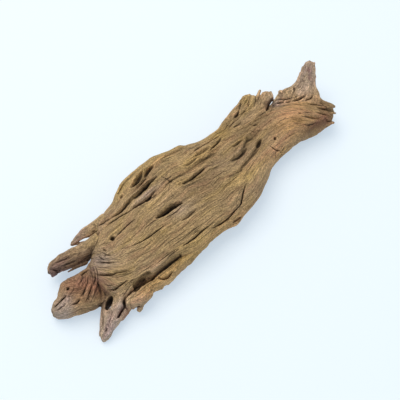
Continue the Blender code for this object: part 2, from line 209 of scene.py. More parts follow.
# Cracks and grooves in the upper surface, cut straight down: points, half width and depth. These points, and
# those of the hairlines, folds and broken layers, were picked by eye in the photo. A helper script turned
# most of them into plan millimetres.
cuts = {
    "slot": ([(-47, -6.4), (-41, -6.9), (-33, -6.9), (-26, -7.5), (-19.5, -9.4)], 3.3, 14),
    "slit": ([(-32, -24.6), (-24, -25.1), (-16, -24.6), (-12.6, -24.6)], 0.9, 3.6),
    "wormHole": ([(-94.6, 5.2), (-91, 4.1)], 2.2, 8),
    "wormCrack": ([(-91, 3.6), (-83.8, 4.5), (-74.2, 5.9), (-64, 6.9)], 0.7, 2.6),
    "plateCrack": (
        [(-86, -13), (-80, -14.7), (-72.7, -16.3), (-64.8, -17.1), (-55, -17.2), (-46, -17.7)], 0.7, 2.4,
    ),
    "lipGash": ([(-125.5, -13.4), (-121, -18), (-115.3, -22.7), (-110.6, -24.8)], 1.1, 5.4),
    "lipLong": ([(-112, -24), (-105.8, -27.2), (-100, -30)], 0.8, 2.2),
    "lipFold": ([(-112, -7), (-108, -3), (-103.6, -8.6)], 0.9, 1.6),
    "lipCrease": ([(-117, -6.4), (-111.7, -10.8), (-105.6, -16.4)], 0.8, 2.6),
    "lipCorner": ([(-113.4, 0.6), (-111.6, -6.8)], 1.1, 2.6),
    "lipSpot": ([(-105.8, 3.2), (-104.4, -0.8)], 1.0, 2.0),
    "grooveEnd": (
        [(-80, 23.8), (-74.2, 23), (-68.6, 22.6), (-62, 24.2), (-53.8, 26.2), (-46, 26.4)], 1.9, 4.6,
    ),
    "grooveNext": ([(-86.6, 20), (-77.4, 18.9), (-72.5, 18.6), (-66.3, 17.2), (-57.3, 16.1)], 0.9, 2.2),
    "grooveThird": ([(-93, 26.4), (-87.4, 24.9), (-79, 23.6)], 0.9, 2.2),
    "bigGroove": ([(-54, 26.4), (-46, 26.2), (-37, 27), (-29, 28.8), (-19, 29.6)], 2.4, 6.6),
    "bigGrooveDeep": ([(-45, 26), (-37, 26.8), (-30, 28.4), (-25, 29.4)], 2.1, 13),
    "secondGroove": (
        [(-59, 16.8), (-51, 16.2), (-44, 15.6), (-39, 15.6), (-32.6, 17.2), (-28.6, 17.8)], 1.5, 6,
    ),
    "secondDeep": ([(-45.6, 15.6), (-40, 15.4), (-35, 16.6)], 1.9, 11),
    "thirdSmall": ([(-38.4, 14.2), (-31, 14)], 0.8, 2.8),
    "ovalLeft": ([(-43.4, 37.2), (-38, 38.4), (-33, 39.6), (-27.6, 41.8), (-23.2, 44.6)], 3.6, 7),
    "ovalLeftDeep": ([(-41.6, 37.2), (-36, 38.4), (-31, 39.4)], 2.2, 13),
    "ovalRight": ([(-11.4, 42.8), (-17.9, 41.6), (-23, 39.4), (-27.4, 36.6)], 2.9, 7),
    "ovalUnder": ([(-41.4, 33.2), (-36, 33.2), (-31.6, 33.9), (-27, 34.6)], 1.0, 5),
    "ledgeSpot": ([(-59, 35.5), (-55.5, 37)], 1.8, 2.4),
    "ledgeLine": ([(-58, 42), (-50, 45.5), (-44, 47.5)], 0.9, 3),
    "middleCrack": ([(-3.6, 5.3), (1.6, 4.8), (6.6, 4.6), (10.8, 5), (16.2, 5.1), (24, 5.5)], 1.1, 5.4),
    "fluteOne": ([(29, 28.2), (37.4, 29.2), (44.1, 29.1), (54.4, 28.5), (65, 27.6)], 1.0, 3.4),
    "fluteTwo": ([(41, 18.6), (48.3, 20.2), (54.4, 20.9), (59.9, 22.4), (63, 24)], 1.2, 4.2),
    "fluteThree": ([(20.6, 23.6), (28, 23.1), (34, 22.3), (40.5, 22.1), (46, 21.6)], 1.4, 2.8),
    "fluteFour": ([(11, 20), (20, 20), (26.6, 20.7)], 1.1, 2.4),
    "farOuter": ([(-6, 44), (12, 42), (30, 37.6)], 0.7, 2.0),
    "edgeMain": ([(-12, -46.4), (-2.6, -47), (5, -47.3), (11, -47.6), (17.1, -46.9), (23, -46)], 0.8, 3.4),
    "edgeClimb": (
        [(22, -46.2), (27.2, -44.6), (31.2, -41.6), (35.4, -38.4), (39.2, -35.9), (44, -33)], 0.9, 3.6,
    ),
    "edgeLeft": (
        [(-46, -42.8), (-38.1, -43.9), (-33.2, -44), (-27.9, -43.7), (-21, -43.2), (-13, -43.5)], 0.8, 3.2,
    ),
    "edgeNotch": ([(10, -51.6), (16.4, -52.6), (20.6, -52)], 0.9, 4),
    "pitOne": ([(64, 7.4), (71.3, 7.7), (74.2, 7.9), (77, 6)], 1.1, 3),
    "ridgeGroove": ([(76, -1.6), (67.4, -3.8), (60, -5), (50, -4.4)], 2.0, 2.6),
    "mainPit": ([(91, -5.6), (82.9, -8.1), (77.1, -11), (68.9, -12.6), (61.6, -14.5), (48, -18.4)], 3.0, 3.0),
    "mainPitDeep": ([(93, -3.6), (88.6, -5.2), (83, -7.4)], 2.2, 6),
    "mainTail": ([(57, -16.6), (51.1, -18.5), (44, -18)], 1.2, 2.6),
    "neckDark": ([(82.6, 26.8), (87.7, 25.3), (93, 24.6)], 1.4, 2.2),
    "strandLine": ([(103, 17.6), (109.7, 17.1), (118.6, 16.6)], 0.6, 0.8),
    "neckSpot": ([(98.6, 14.6), (102.4, 12)], 1.2, 2.6),
    "neckDot": ([(103.2, -12.4), (106.4, -11.2)], 1.3, 4.4),
    "snoutDot": ([(143.4, -6.6), (145, -8.4)], 1.2, 3),
    "neckCrack": ([(94.4, -14.6), (97.6, -20.4), (104, -24)], 0.8, 2),
    "snoutCrack": ([(145.6, -13.8), (150.7, -17.7), (153.7, -20.7), (158, -23.8)], 1.2, 6),
    "snoutCleft": (
        [(163, -4.6), (165.4, -6.7), (169.4, -10.3), (173.1, -14), (176.6, -18.5), (186, -29)], 1.6, 9,
    ),
    "snoutLow": ([(160, -17), (163, -19.3), (168.5, -23.2), (176, -30)], 1.0, 3.6),
    "snoutLowest": ([(164.3, -25.7), (168.3, -28.4), (174, -33)], 1.2, 6),
    "snoutRed": ([(143.6, -24.6), (149, -26), (155.2, -27.3), (162.5, -29.6), (168, -32)], 2.0, 4),
    "snoutBlack": ([(145, -24), (143, -27)], 0.8, 3),
    "hornRidgeA": ([(167.4, 5.8), (164.1, 7.1), (160.2, 7.5), (155.8, 9), (151.6, 10.6)], 1.1, 5.4),
    "hornRidgeB": ([(172.6, 1), (168.3, 0.3), (162.6, 2.4)], 0.9, 4),
    "hornRidgeC": ([(145.4, 13), (150.6, 12)], 1.1, 5),
    "hornRidgeD": ([(140, 24), (143.1, 22.7), (147.2, 18.1), (153.4, 14.7)], 1.0, 3.6),
    "hornRidgeE": ([(138.6, 20.7), (141, 19.1), (145.6, 16.2)], 1.0, 4),
    "hornStep": ([(167, 23), (162.2, 18)], 0.9, 3.6),
    "hornNotch": ([(180.5, 31.8), (184, 30)], 1.3, 3),
    "stubFace": ([(119, 17), (124, 18.8), (129, 20.8), (134.4, 23)], 1.4, 6),
    "stubCrack": ([(99, 36.2), (94.6, 34.4), (90.6, 34.2)], 1.1, 5),
    "railGroove": (
        [(-119.5, -45.8), (-111, -44.2), (-104.7, -45), (-99, -44.7), (-93.8, -45.3), (-88.7, -46.3),
         (-84.9, -46.2), (-79.5, -45.6), (-65, -45.8), (-52, -46.4)],
        1.3, 14,
    ),
    "railEnd": ([(-117, -44), (-121.6, -46), (-123, -49.4), (-120.4, -54)], 1.5, 9),
    "railCrack": ([(-83, -47.4), (-80.5, -52.5), (-74.5, -54.1), (-68, -53.4)], 1.0, 3.6),
    "railUnder": ([(-95, -53.2), (-89.9, -54.9), (-84, -55)], 0.9, 3),
    "knobEye": ([(-154.4, -3.5), (-152.6, -4.3)], 1.5, 8),
    "knobMouth": ([(-158.3, -8.4), (-162.2, -7.5), (-167.3, -7.5), (-170.9, -7.2), (-173.4, -6.4)], 1.1, 3.2),
    "knobMouthLow": ([(-163, -14), (-169.2, -12.5), (-173.6, -11.1)], 0.9, 2.4),
    "knobCheek": ([(-150.6, -19.6), (-155.9, -19.2), (-160.4, -17.6)], 0.8, 2.6),
    "knobNeck": ([(-122.6, -2), (-124.6, -7.1), (-126, -10.6), (-128.7, -13.8), (-133.4, -15.4)], 0.8, 1.8),
    "underLip": ([(-128, -15.5), (-130.6, -22), (-133.4, -27.6), (-136.8, -30.4)], 1.4, 1.8),
    "knobStrandA": ([(-133, -15), (-138.5, -18.9), (-144.1, -22.2), (-149.6, -23.7)], 0.7, 1.2),
    "knobStrandB": ([(-134.6, -11), (-141.2, -14.3), (-145.5, -16.7), (-151, -18.4)], 0.8, 1.4),
    "knobBrow": ([(-136.6, -0.5), (-130.8, 0.2), (-126.4, 0)], 1.0, 4),
    "fingerUnder": ([(-144, 17.2), (-137.5, 15.5), (-131.6, 14.2), (-126.8, 13.7), (-121, 12.4)], 1.3, 4.4),
    "fingerCrack": ([(-154, 25.6), (-147.9, 21.4), (-144, 21)], 0.9, 3),
    "fingerTop": ([(-145.6, 26.8), (-137.7, 23.8), (-131, 22.4)], 0.9, 2),
    "upperUnder": ([(-107, 26.4), (-104, 25), (-101, 24.8), (-96, 24.2)], 1.0, 4),
    "spikeCrack": ([(-119, -46), (-123, -48.6), (-127.5, -50), (-135, -52.5)], 1.6, 9),
    "plateSpike": ([(-127, -30), (-122.3, -33.9), (-113.8, -35.3), (-106.6, -36)], 0.8, 3),
    "spikeEdge": ([(-150, -50), (-144, -43), (-141, -38)], 0.9, 2.4),
    "spikeSpot": ([(-147, -52.6), (-150, -54.4)], 1.2, 2.2),
}

# Hairlines, which are only drawn: points and half width
hairlines = [
    ([(-91, 3.6), (-83.8, 4.5), (-74.2, 5.9), (-70.4, 6), (-64, 6.9)], 0.55),
    ([(-64, 6.9), (-58.6, 6.9), (-47, 7.7)], 0.25),
    ([(-94, -7.9), (-89.6, -11.7), (-84.8, -13.3)], 0.35),
    ([(-84.8, -13.3), (-80, -14.7), (-72.7, -16.3), (-64.8, -17.1), (-55, -17.2), (-44.4, -17.8)], 0.55),
    ([(-64, -7), (-58.3, -7.7), (-53.1, -7.4), (-48, -9)], 0.5),
    ([(-76, -41), (-68, -40.9), (-60.4, -40.7), (-52, -41.4)], 0.55),
    ([(-66, -42.6), (-58, -42.4), (-50, -43)], 0.45),
    ([(-91, -37.8), (-85.6, -38.7), (-80, -39)], 0.4),
    ([(-111.4, 6.8), (-107.8, -1.3), (-104.3, -7.6)], 0.35),
    ([(-119.4, 11.9), (-118.1, 2.9), (-114.8, -0.9)], 0.45),
    ([(-115.1, 11.7), (-113.4, 4.1), (-111.7, 0)], 0.35),
    ([(-118, 0), (-113, -4.4), (-108, -9)], 0.35),
    ([(-120, -3), (-114.6, -7.4), (-109, -13)], 0.4),
    ([(-122, -8), (-116.5, -13), (-110, -17.4)], 0.35),
    ([(-122, -20), (-115, -25.4), (-106, -29.6), (-97, -32)], 0.35),
    ([(-117, -27), (-108, -31), (-98, -34)], 0.35),
    ([(-96, -4), (-84, -8), (-72, -9.6)], 0.3),
    ([(-100, -12), (-90, -18), (-76, -22), (-62, -23.6)], 0.3),
    ([(-98, -22), (-86, -26), (-70, -29.4), (-54, -30.6)], 0.3),
    ([(-96, 12), (-84, 11.4), (-72, 11.6)], 0.3),
    ([(-60, -32.4), (-46, -33.6), (-32, -33.6)], 0.35),
    ([(-54, -37.6), (-40, -38.6), (-26, -38.2), (-14, -38.8)], 0.4),
    ([(-41, -12.4), (-35, -14.1), (-28, -14.6), (-21.4, -12.9)], 0.5),
    ([(-31.7, -40.8), (-26.6, -40.8), (-23, -41.8)], 0.5),
    ([(-46, -42.8), (-38.1, -43.9), (-33.2, -44), (-27.9, -43.7), (-21, -43.2), (-7.5, -43.7)], 0.55),
    ([(-11.2, -46.6), (-2.6, -47.1), (5, -47.3), (11.1, -47.7), (17.1, -46.9), (23.1, -46.1), (27.2, -44.6),
      (31.2, -41.6), (35.4, -38.4), (39.1, -35.9), (43.3, -33.5)], 0.6),
    ([(23, -41), (29, -38), (34, -35.4)], 0.3),
    ([(-6.9, 2.4), (0.4, 0.5), (8.8, -1.8)], 0.45),
    ([(30, 28.4), (37.4, 29.2), (44.1, 29.1), (54.4, 28.5), (64.8, 27.7)], 0.5),
    ([(43.3, 19.1), (48.3, 20.2), (54.4, 20.9), (59.9, 22.4)], 0.6),
    ([(30, 14.6), (42, 13.8), (52, 13)], 0.35),
    ([(8, 12.6), (20, 12), (32, 11.4)], 0.35),
    ([(14, 33.6), (28, 33.4), (42, 32.6)], 0.35),
    ([(16, -8), (30, -9.6), (42, -9)], 0.3),
    ([(20, -22), (34, -22.6), (46, -21)], 0.3),
    ([(44.6, -18.1), (35.8, -17.4)], 0.45),
    ([(52, -24), (62, -21.6), (72, -18)], 0.3),
    ([(-14.2, 25.6), (-12.1, 20.5), (-11.3, 15.3)], 0.5),
    ([(-11.3, 15.3), (-17.2, 11.4), (-20.5, 8.2)], 0.35),
    ([(-18, 20), (-12, 20.4), (-6, 19.6)], 0.35),
    ([(-37.6, 14.2), (-31.5, 14)], 0.5),
    ([(-86.3, 20), (-77.4, 18.9), (-72.5, 18.8), (-66.3, 17.2), (-57.3, 16.1)], 0.5),
    ([(-92.6, 26.3), (-87.4, 24.9), (-78.6, 23.6)], 0.5),
    ([(-41, 33.2), (-36, 33.2), (-31.6, 33.9), (-27.2, 34.6)], 0.5),
    ([(84, 14), (90, 11.6), (96, 6)], 0.35),
    (cuts["neckCrack"][0], 0.5),
    ([(98, -21), (93, -26)], 0.4),
    ([(104, -23.4), (110, -22.6)], 0.35),
    ([(96, 9), (101, 3), (108, -1)], 0.3),
    ([(109.7, 17.1), (113.7, 16.8), (117.8, 16.6)], 0.35),
    ([(146.8, -8.1), (152.3, -11.7), (156.4, -15.1)], 0.5),
    ([(134, 3), (142, -1), (147, -4)], 0.3),
    ([(121, -1), (127, -3.6)], 0.35),
    ([(131, -8), (138, -12)], 0.35),
    ([(163, -19.3), (168.5, -23.2)], 0.4),
    ([(141, -12), (147, -15), (152, -20)], 0.35),
    ([(137, -19), (146, -22.4), (154, -25)], 0.4),
    ([(128, -14), (136, -18), (143, -20)], 0.3),
    ([(144.8, -15), (150.7, -17.7), (153.7, -20.7), (156.1, -23)], 0.6),
    ([(165.4, -6.7), (169.4, -10.3), (173.1, -14), (176.6, -18.5)], 0.7),
    ([(121.8, 35.2), (115.8, 30.4), (112.2, 28)], 0.5),
    ([(124.6, 33.6), (116.5, 28.1)], 0.4),
    ([(123.9, 28.5), (118.1, 25.2)], 0.4),
    ([(116.4, 38.7), (107.8, 33.8)], 0.35),
    ([(108.7, 42.5), (99.7, 38.7)], 0.35),
    ([(106, 40.6), (101.1, 37.4), (98.6, 36)], 0.7),
    ([(151, 17), (158, 12), (166, 9.6)], 0.35),
    ([(-136, -19.6), (-141, -22.6), (-147, -24.6)], 0.4),
    ([(-121.5, -4), (-124, -12), (-129, -18.5), (-136, -23.5)], 0.45),
    ([(-127, -2), (-129, -9), (-134, -15), (-140, -19)], 0.25),
    ([(-130, -1), (-132, -7), (-137, -12), (-143, -15.4)], 0.25),
    ([(-134, -21), (-139, -25), (-146, -27.4)], 0.35),
    ([(-134, 1), (-136, -4), (-141, -8)], 0.3),
    ([(-150, 1), (-145, -1), (-140, -3)], 0.3),
    ([(-155, -1), (-158, -4), (-160, -7)], 0.3),
    ([(-147, -6), (-151, -9), (-156, -10.5)], 0.35),
    ([(-133.9, -15.3), (-138.5, -18.9), (-144.1, -22.2), (-148.9, -23.5)], 0.4),
    ([(-136.1, -12.1), (-141.2, -14.3), (-145.5, -16.7), (-150.4, -18.4)], 0.35),
    ([(-139.9, -14.1), (-143.9, -16.9), (-147.8, -19.5)], 0.45),
    ([(-133, -7), (-140, -10.6), (-147, -13)], 0.35),
    ([(-131, -4), (-139, -5.6), (-146, -8)], 0.3),
    ([(-158.8, -8), (-156.8, -11.5), (-153.5, -13.5)], 0.45),
    ([(-158.5, -8.3), (-162.2, -7.4), (-167.3, -7.5), (-172.9, -6.6)], 0.7),
    ([(-151.5, -19.6), (-155.9, -19.2), (-159.7, -17.9)], 0.5),
    ([(-126.6, -23.8), (-124.7, -28.2), (-119.4, -32)], 0.45),
    ([(-125.4, -31), (-122.3, -33.9), (-113.8, -35.3), (-108.5, -36)], 0.5),
    ([(-118.5, -43), (-112.3, -41.4), (-105.5, -40.7)], 0.45),
    ([(-116, -38.4), (-108, -38), (-100, -38.4)], 0.35),
    ([(-134, -45), (-140, -49), (-146, -53)], 0.3),
    ([(-110, -49), (-98, -48.6), (-86, -49.4), (-72, -49)], 0.3),
    ([(-144.1, 21.6), (-136.6, 18.9), (-129.1, 16.4)], 0.5),
    ([(-145.1, 26.6), (-137.7, 23.6), (-131.4, 22.3)], 0.35),
    ([(-101.2, 15.2), (-105.6, 12.8), (-109.9, 10.7), (-113.2, 12.1)], 0.45),
]

# Soft ridges and valleys of the upper surface: points, half width, and depth, which is below 0 on a ridge
folds = [
    ([(18, 17.2), (28.6, 17.7), (36.6, 17.7), (45.2, 18), (52, 17.4)], 1.8, -2.2),
    ([(-6, 25.4), (14, 24.6), (32, 25.4), (48, 25.4), (60, 26)], 2.4, -1.4),
    ([(-4, 8.6), (12, 8.4), (28, 8.6), (44, 9)], 2.6, -1.6),
    ([(0, 15.6), (16, 14.6), (34, 14.4), (50, 14.4)], 1.8, 1.6),
    (
        [(98.9, 10.3), (91.7, 10.2), (86.1, 10.2), (79.5, 7.5), (73.5, 4.2), (67.6, 0.8), (61, -1.8),
         (48, -2.5)],
        1.9, -3.4,
    ),
    ([(80, 2), (88, 4), (97, 6)], 2.6, 1.8),
    ([(82, 24.8), (97.1, 23.3), (105.2, 21.7), (116.6, 18.9), (125.2, 17.2), (133, 16.2)], 2.2, -1.4),
    ([(86, 20), (94, 19), (103, 17.6), (112, 16.2), (119, 15.6)], 2.4, -2.2),
    ([(133, 16.2), (141.6, 13.8), (147.6, 11), (156.2, 3.5), (163, -2.6), (172, -11)], 1.8, -1.6),
    ([(-58, 19.8), (-50.4, 20), (-42.6, 20.4), (-34, 21.7), (-26, 22.2)], 1.7, -1.8),
    ([(-104, 24), (-92, 22.6), (-82, 21.4), (-70, 20)], 1.6, -1.0),
    ([(-66, 34), (-52, 33), (-36, 31.8)], 3.0, 1.6),
    ([(-19.4, 46.4), (-25.2, 41.8), (-31.8, 35.2)], 0.9, -4.6),
    ([(-41, -12), (-34, -12.4), (-27, -12.8), (-20.6, -11.4)], 1.3, -1.2),
    ([(-12, 21), (-9, 12), (-2, 4.6)], 2.2, 1.4),
    ([(26, -26), (44, -24), (62, -20), (80, -18)], 5.0, -1.0),
    ([(-112, 6), (-118, -2), (-122, -12), (-124, -24)], 3.4, -0.7),
    ([(141, -24.6), (149, -27.6), (156.5, -29), (167, -32)], 3.0, 2.4),
    ([(150, 14), (164, 16), (178, 22), (190, 30)], 2.4, 0.6),
    ([(146, -20), (156, -24.6), (168, -27)], 1.6, -1.8),
    ([(120, -12), (132, -13), (142, -17)], 2.4, 1.2),
    ([(124, -2), (136, -5), (146, -11)], 2.6, -1.0),
    ([(-165, -13), (-158, -11), (-151, -11)], 2.6, -1.6),
    ([(-160, -3.4), (-156, -6.4), (-150, -7.6)], 1.4, -1.2),
    ([(-133.5, -19.3), (-136.7, -22.5), (-141.5, -25.9)], 1.5, -2.0),
    ([(-148, 3), (-140, 7), (-130, 6)], 3.0, 1.0),
    ([(-84, -43), (-74, -42.4), (-60, -42.4), (-50, -43.4)], 2.6, -1.8),
    ([(62, 37), (69, 36.6), (77, 36)], 2.4, -1.6),
]

# Broken layers: where a line runs, the ground on its right drops, and climbs back: points, reach and depth
ledges = [
    ([(-8, 7), (4, 6.2), (16, 6.4), (28, 6.8)], 4.0, 1.6),
    ([(2, 17.4), (16, 15.4), (30, 15), (46, 14.4)], 3.0, 1.0),
    ([(50, -4), (61, -3.8), (67.6, -1.4), (73.5, 1.8), (79.5, 5), (88, 8)], 6.0, 2.6),
    ([(150, 11), (141.6, 15), (125, 18.4), (111, 21.4), (97, 24.6)], 4.0, 0.3),
    ([(-127, -13), (-115, -22), (-100, -29)], 3.0, 0.8),
    ([(-60, 24.4), (-46, 25.4), (-30, 27.6)], 3.0, 1.2),
    ([(20, -14), (44, -16.6), (60, -13.6), (80, -8.4)], 4.0, 1.4),
    ([(-90, -35), (-66, -38), (-44, -39.6), (-10, -40.6)], 3.0, 0.9),
    ([(140, 2), (150, -5), (160, -15), (168, -27)], 4.0, 1.0),
    ([(-48, 46), (-30, 51.4), (-12, 53)], 4.0, 1.4),
    ([(-124, 27), (-138, 27.4), (-152, 25)], 3.0, 1.2),
    ([(-150, -12), (-140, -5), (-132, 2)], 3.0, 1.2),
]

# Places where the grain swings aside round a knot or a fork: centre, half sizes, and how far it swings
swings = [
    ((6, -16), (20, 13), 3.0), ((-12, 14), (14, 9), -2.6), ((88, 2), (14, 9), 3.0),
    ((60, -26), (22, 9), -2.0),
]

# How strong the relief of the grain is: centre, half sizes, and the share that is added or taken there
roughness = [
    ((-70, -14), (46, 24), -0.35), ((30, 20), (38, 16), 0.35), ((-34, 42), (38, 16), 0.35),
    ((74, 6), (24, 20), 0.45), ((150, 14), (24, 14), 0.5), ((100, 30), (30, 14), 0.35),
    ((-10, 18), (10, 10), 0.5), ((124, -6), (30, 14), -0.2), ((20, -52), (70, 10), -0.2),
    ((168, -20), (12, 16), 0.5), ((10, -16), (34, 20), -0.2),
]

# Where short wrinkles run across the grain: centre, half sizes, and how deep
wrinkles = [
    ((-92, -50), (26, 7), 0.8), ((-58, -51), (16, 6), 0.5), ((-116, -4), (8, 12), 0.5),
    ((-138, 22), (16, 10), 0.3), ((168, -14), (14, 16), 0.7), ((158, 12), (16, 8), 0.5),
    ((-150, -54), (14, 10), 0.4), ((-4, 16), (10, 9), 0.6), ((130, -8), (30, 14), 0.75),
    ((96, -22), (16, 8), 0.4),
]

# Hollows that go through or under the wood: centre, half length, width and height, and heading
hollows = [
    ((-131.8, -37.4, 18), (6.6, 3.3, 17.4), 23),
    ((-94.5, -42.6, 29), (9.5, 3.6, 5.4), 4),
    ((-97.4, -42, 26), (6.5, 2.6, 8), 4),
    ((-121, -52, 4), (6, 4, 4), 20),
]


def curveThrough(rows, at):
    # each column of the rows on a smooth curve that never overshoots them
    knots = np.array([row[0] for row in rows], float)
    k = np.clip(np.searchsorted(knots, at, side="right") - 1, 0, len(knots) - 2)
    span = knots[k + 1] - knots[k]
    t = np.clip((at - knots[k]) / span, 0, 1)
    curves = []
    for column in range(1, len(rows[0])):
        value = np.array([row[column] for row in rows], float)
        slope = np.diff(value) / np.diff(knots)
        before = np.concatenate(([0.0], slope))
        after = np.concatenate((slope, [0.0]))
        steady = before * after > 0
        bend = np.where(steady, 2 * before * after / np.where(steady, before + after, 1), 0)
        curves.append(
            (1 + 2 * t) * (1 - t) ** 2 * value[k] + t * (1 - t) ** 2 * bend[k] * span
            + t * t * (3 - 2 * t) * value[k + 1] + t * t * (t - 1) * bend[k + 1] * span
        )
    return curves


def smoothStep(value, low, high):
    t = np.clip((value - low) / (high - low), 0, 1)
    return t * t * (3 - 2 * t)


def smoothLower(a, b, reach):
    # the lower of two fields, rounded where they meet
    h = np.maximum(reach - np.abs(a - b), 0) / reach
    return np.minimum(a, b) - h * h * reach * 0.25


def smoothHigher(a, b, reach):
    return -smoothLower(-a, -b, reach)


noiseCells = 32  # along each axis before the noise repeats: a power of 2
noiseGain = 1.7  # brings the noise to about -1 to 1


def grainNoise(u, v, w, seed):
    # gradient noise from about -1 to 1
    table = np.random.default_rng(seed).normal(size=(noiseCells**3, 3))
    table = (table / np.linalg.norm(table, axis=1, keepdims=True)).astype(np.float32)
    u, v, w = np.broadcast_arrays(np.float32(u), np.float32(v), np.float32(w))
    cell = [np.floor(a).astype(np.int32) for a in (u, v, w)]
    part = [a - c for a, c in zip((u, v, w), cell)]
    fade = [a * a * a * (a * (a * 6 - 15) + 10) for a in part]
    total = np.zeros(u.shape, np.float32)
    for corner in product((0, 1), repeat=3):
        index = 0
        for c, d in zip(cell, corner):
            index = index * noiseCells + ((c + d) & (noiseCells - 1))
        slope = table[index]
        weight = 1
        height = 0
        for axis, d in enumerate(corner):
            weight = weight * (fade[axis] if d else 1 - fade[axis])
            height = height + slope[..., axis] * (part[axis] - d)
        total += weight * height
    return total * noiseGain


def fibreNoise(along, across, z, size, seed):
    # noise whose features have a length along the grain and a width across it
    length, width = size
    return grainNoise(along / length, across / width, z / width, seed)


def spotSum(spots, x, y):
    total = 0
    for (cx, cy), (rx, ry), amount in spots:
        total = total + amount * np.exp(-((x - cx) / rx) ** 2 - ((y - cy) / ry) ** 2)
    return total


def alongAndSide(origin, heading, x, y):
    # plan positions as seen from a point that looks along a heading in degrees
    turn = math.radians(heading)
    dx, dy = x - origin[0], y - origin[1]
    return dx * math.cos(turn) + dy * math.sin(turn), dy * math.cos(turn) - dx * math.sin(turn)


lipClimb = 28  # how far the trunk's grain strays sideways at its left end
snoutDrop = 34  # and at its snout
knobCurl = {"centre": (-150, 2), "radius": 6}


def sweptSide(x, y, side):
    # the trunk's grain climbs to the lip at its left end, and drops away at the snout
    climb = lipClimb * smoothStep(-x, 88, 132) * smoothStep(y, -60, -5) * (1 - smoothStep(y, 5, 44))
    drop = snoutDrop * smoothStep(x, 118, 188) * (1 - smoothStep(y, -40, 40))
    return side - climb + drop + spotSum(swings, x, y)


def curledSide(x, y, side):
    # the knob's grain curls round its eye
    share = smoothStep(x, -156, -142)
    ring = np.hypot(x - knobCurl["centre"][0], y - knobCurl["centre"][1]) - knobCurl["radius"]
    return side * (1 - share) + ring * share


def formOf(wood, x, y, z):
    # the distance outside a wood's smooth form, and each point's place along and across its grain
    along, side = alongAndSide(wood["origin"], wood["heading"], x, y)
    left, right, top, bottom = curveThrough(wood["sections"], along)
    halfWidth, halfHeight = (left - right) / 2, (top - bottom) / 2
    u = np.abs(side - (left + right) / 2) / halfWidth
    rise = (z - (top + bottom) / 2) / halfHeight
    power = np.where(rise > 0, np.float32(wood["powers"][0]), np.float32(wood["powers"][1]))
    rise = np.abs(rise)
    reach = np.maximum((u**power + rise**power) ** (1 / power), 0.05)
    steepWide = (u / reach) ** (power - 1) / halfWidth
    steepHigh = (rise / reach) ** (power - 1) / halfHeight
    distance = (reach - 1) / np.sqrt(steepWide**2 + steepHigh**2)
    start, end = wood["sections"][0][0], wood["sections"][-1][0]
    if "breakLine" in wood:
        sides, ends = zip(*wood["breakLine"])
        end = np.interp(side, sides, ends)
    past = along - end + tornEnd(wood["ragged"], side, z, wood["seed"])
    distance = smoothHigher(distance, past, wood["endRound"])
    if wood is trunk:
        before = start - along + tornEnd(wood["raggedStart"], side, z, wood["seed"] + 1)
        distance = smoothHigher(distance, before, wood["startRound"])
        side = sweptSide(x, y, side)
    else:
        distance = np.maximum(distance, start - along)
    if wood is knob:
        side = curledSide(x, y, side)
    for owner, tail, tip, tailRadius, tipRadius in splinters:
        if owner is wood:
            thin = splinterForm(tail, tip, tailRadius, tipRadius, x, y, z)
            distance = smoothLower(distance, thin, splinterBlend)
    across = (side - (left + right) / 2) / halfWidth * (0.35 * halfWidth + 0.65 * wood["spreadWidth"])
    return distance, along, across


def tornEnd(ragged, side, z, seed):
    # how far each fibre of a broken end falls short
    deep, wide, high = ragged
    coarse = grainNoise(side / (2.4 * wide), z / (2.4 * high), 0.5, seed + 5)
    fine = grainNoise(side / wide, z / high, 0.5, seed + 6)
    return deep * np.clip(0.5 + 0.45 * coarse + 0.45 * fine, 0, 1.2)


def splinterForm(tail, tip, tailRadius, tipRadius, x, y, z):
    run = [b - a for a, b in zip(tail, tip)]
    t = sum(d * (p - a) for d, p, a in zip(run, (x, y, z), tail)) / sum(d * d for d in run)
    t = np.clip(t, 0, 1)
    away = np.sqrt(sum((p - a - d * t) ** 2 for d, p, a in zip(run, (x, y, z), tail)))
    return away - (tailRadius + (tipRadius - tailRadius) * t)


def valley(wave, share):
    # a cleft that breaks off sharply on one side and climbs back slowly on the other
    return np.maximum(1 - np.where(wave > 0, wave / share, -wave / (0.4 * share)), 0) ** 1.3


# Weathering of the grain: the length and width of each kind of noise, and how much it does
weather = {
    "wander": (70, 24), "fray": (12, 7), "frayReach": 0.2, "alive": (42, 12), "aliveBetween": (-0.3, 0.35),
    "leastAlive": 0.3, "wrinkle": (3.2, 11), "wrinkleShare": 0.5, "wrinkleDepth": 0.9,
}


def reliefOf(wood, x, y, z, along, across, strength):
    # how much deeper than the smooth form the weathered grain lies
    seed = wood["seed"]
    across = across + wood["wander"] * fibreNoise(along, across, z, weather["wander"], seed)
    across = across + weather["frayReach"] * fibreNoise(along, across, z, weather["fray"], seed + 3)
    alive = smoothStep(fibreNoise(along, across, z, weather["alive"], seed + 31), *weather["aliveBetween"])
    alive = weather["leastAlive"] + (1 - weather["leastAlive"]) * alive
    strength = strength * wood["force"]
    size, deep = wood["lumps"]
    relief = deep * grainNoise(x / size, y / size, z / size, seed + 7)
    for number, (length, width, depth, share) in enumerate(wood["grain"]):
        wave = fibreNoise(along, across, z, (length, width), seed + 101 * (number + 1))
        if share:
            relief = relief + depth * strength * alive * valley(wave, share)
        else:
            relief = relief + depth * wave
    folded = valley(fibreNoise(along, across, z, weather["wrinkle"], seed + 57), weather["wrinkleShare"])
    return relief + weather["wrinkleDepth"] * folded * np.clip(spotSum(wrinkles, x, y), 0, 1)


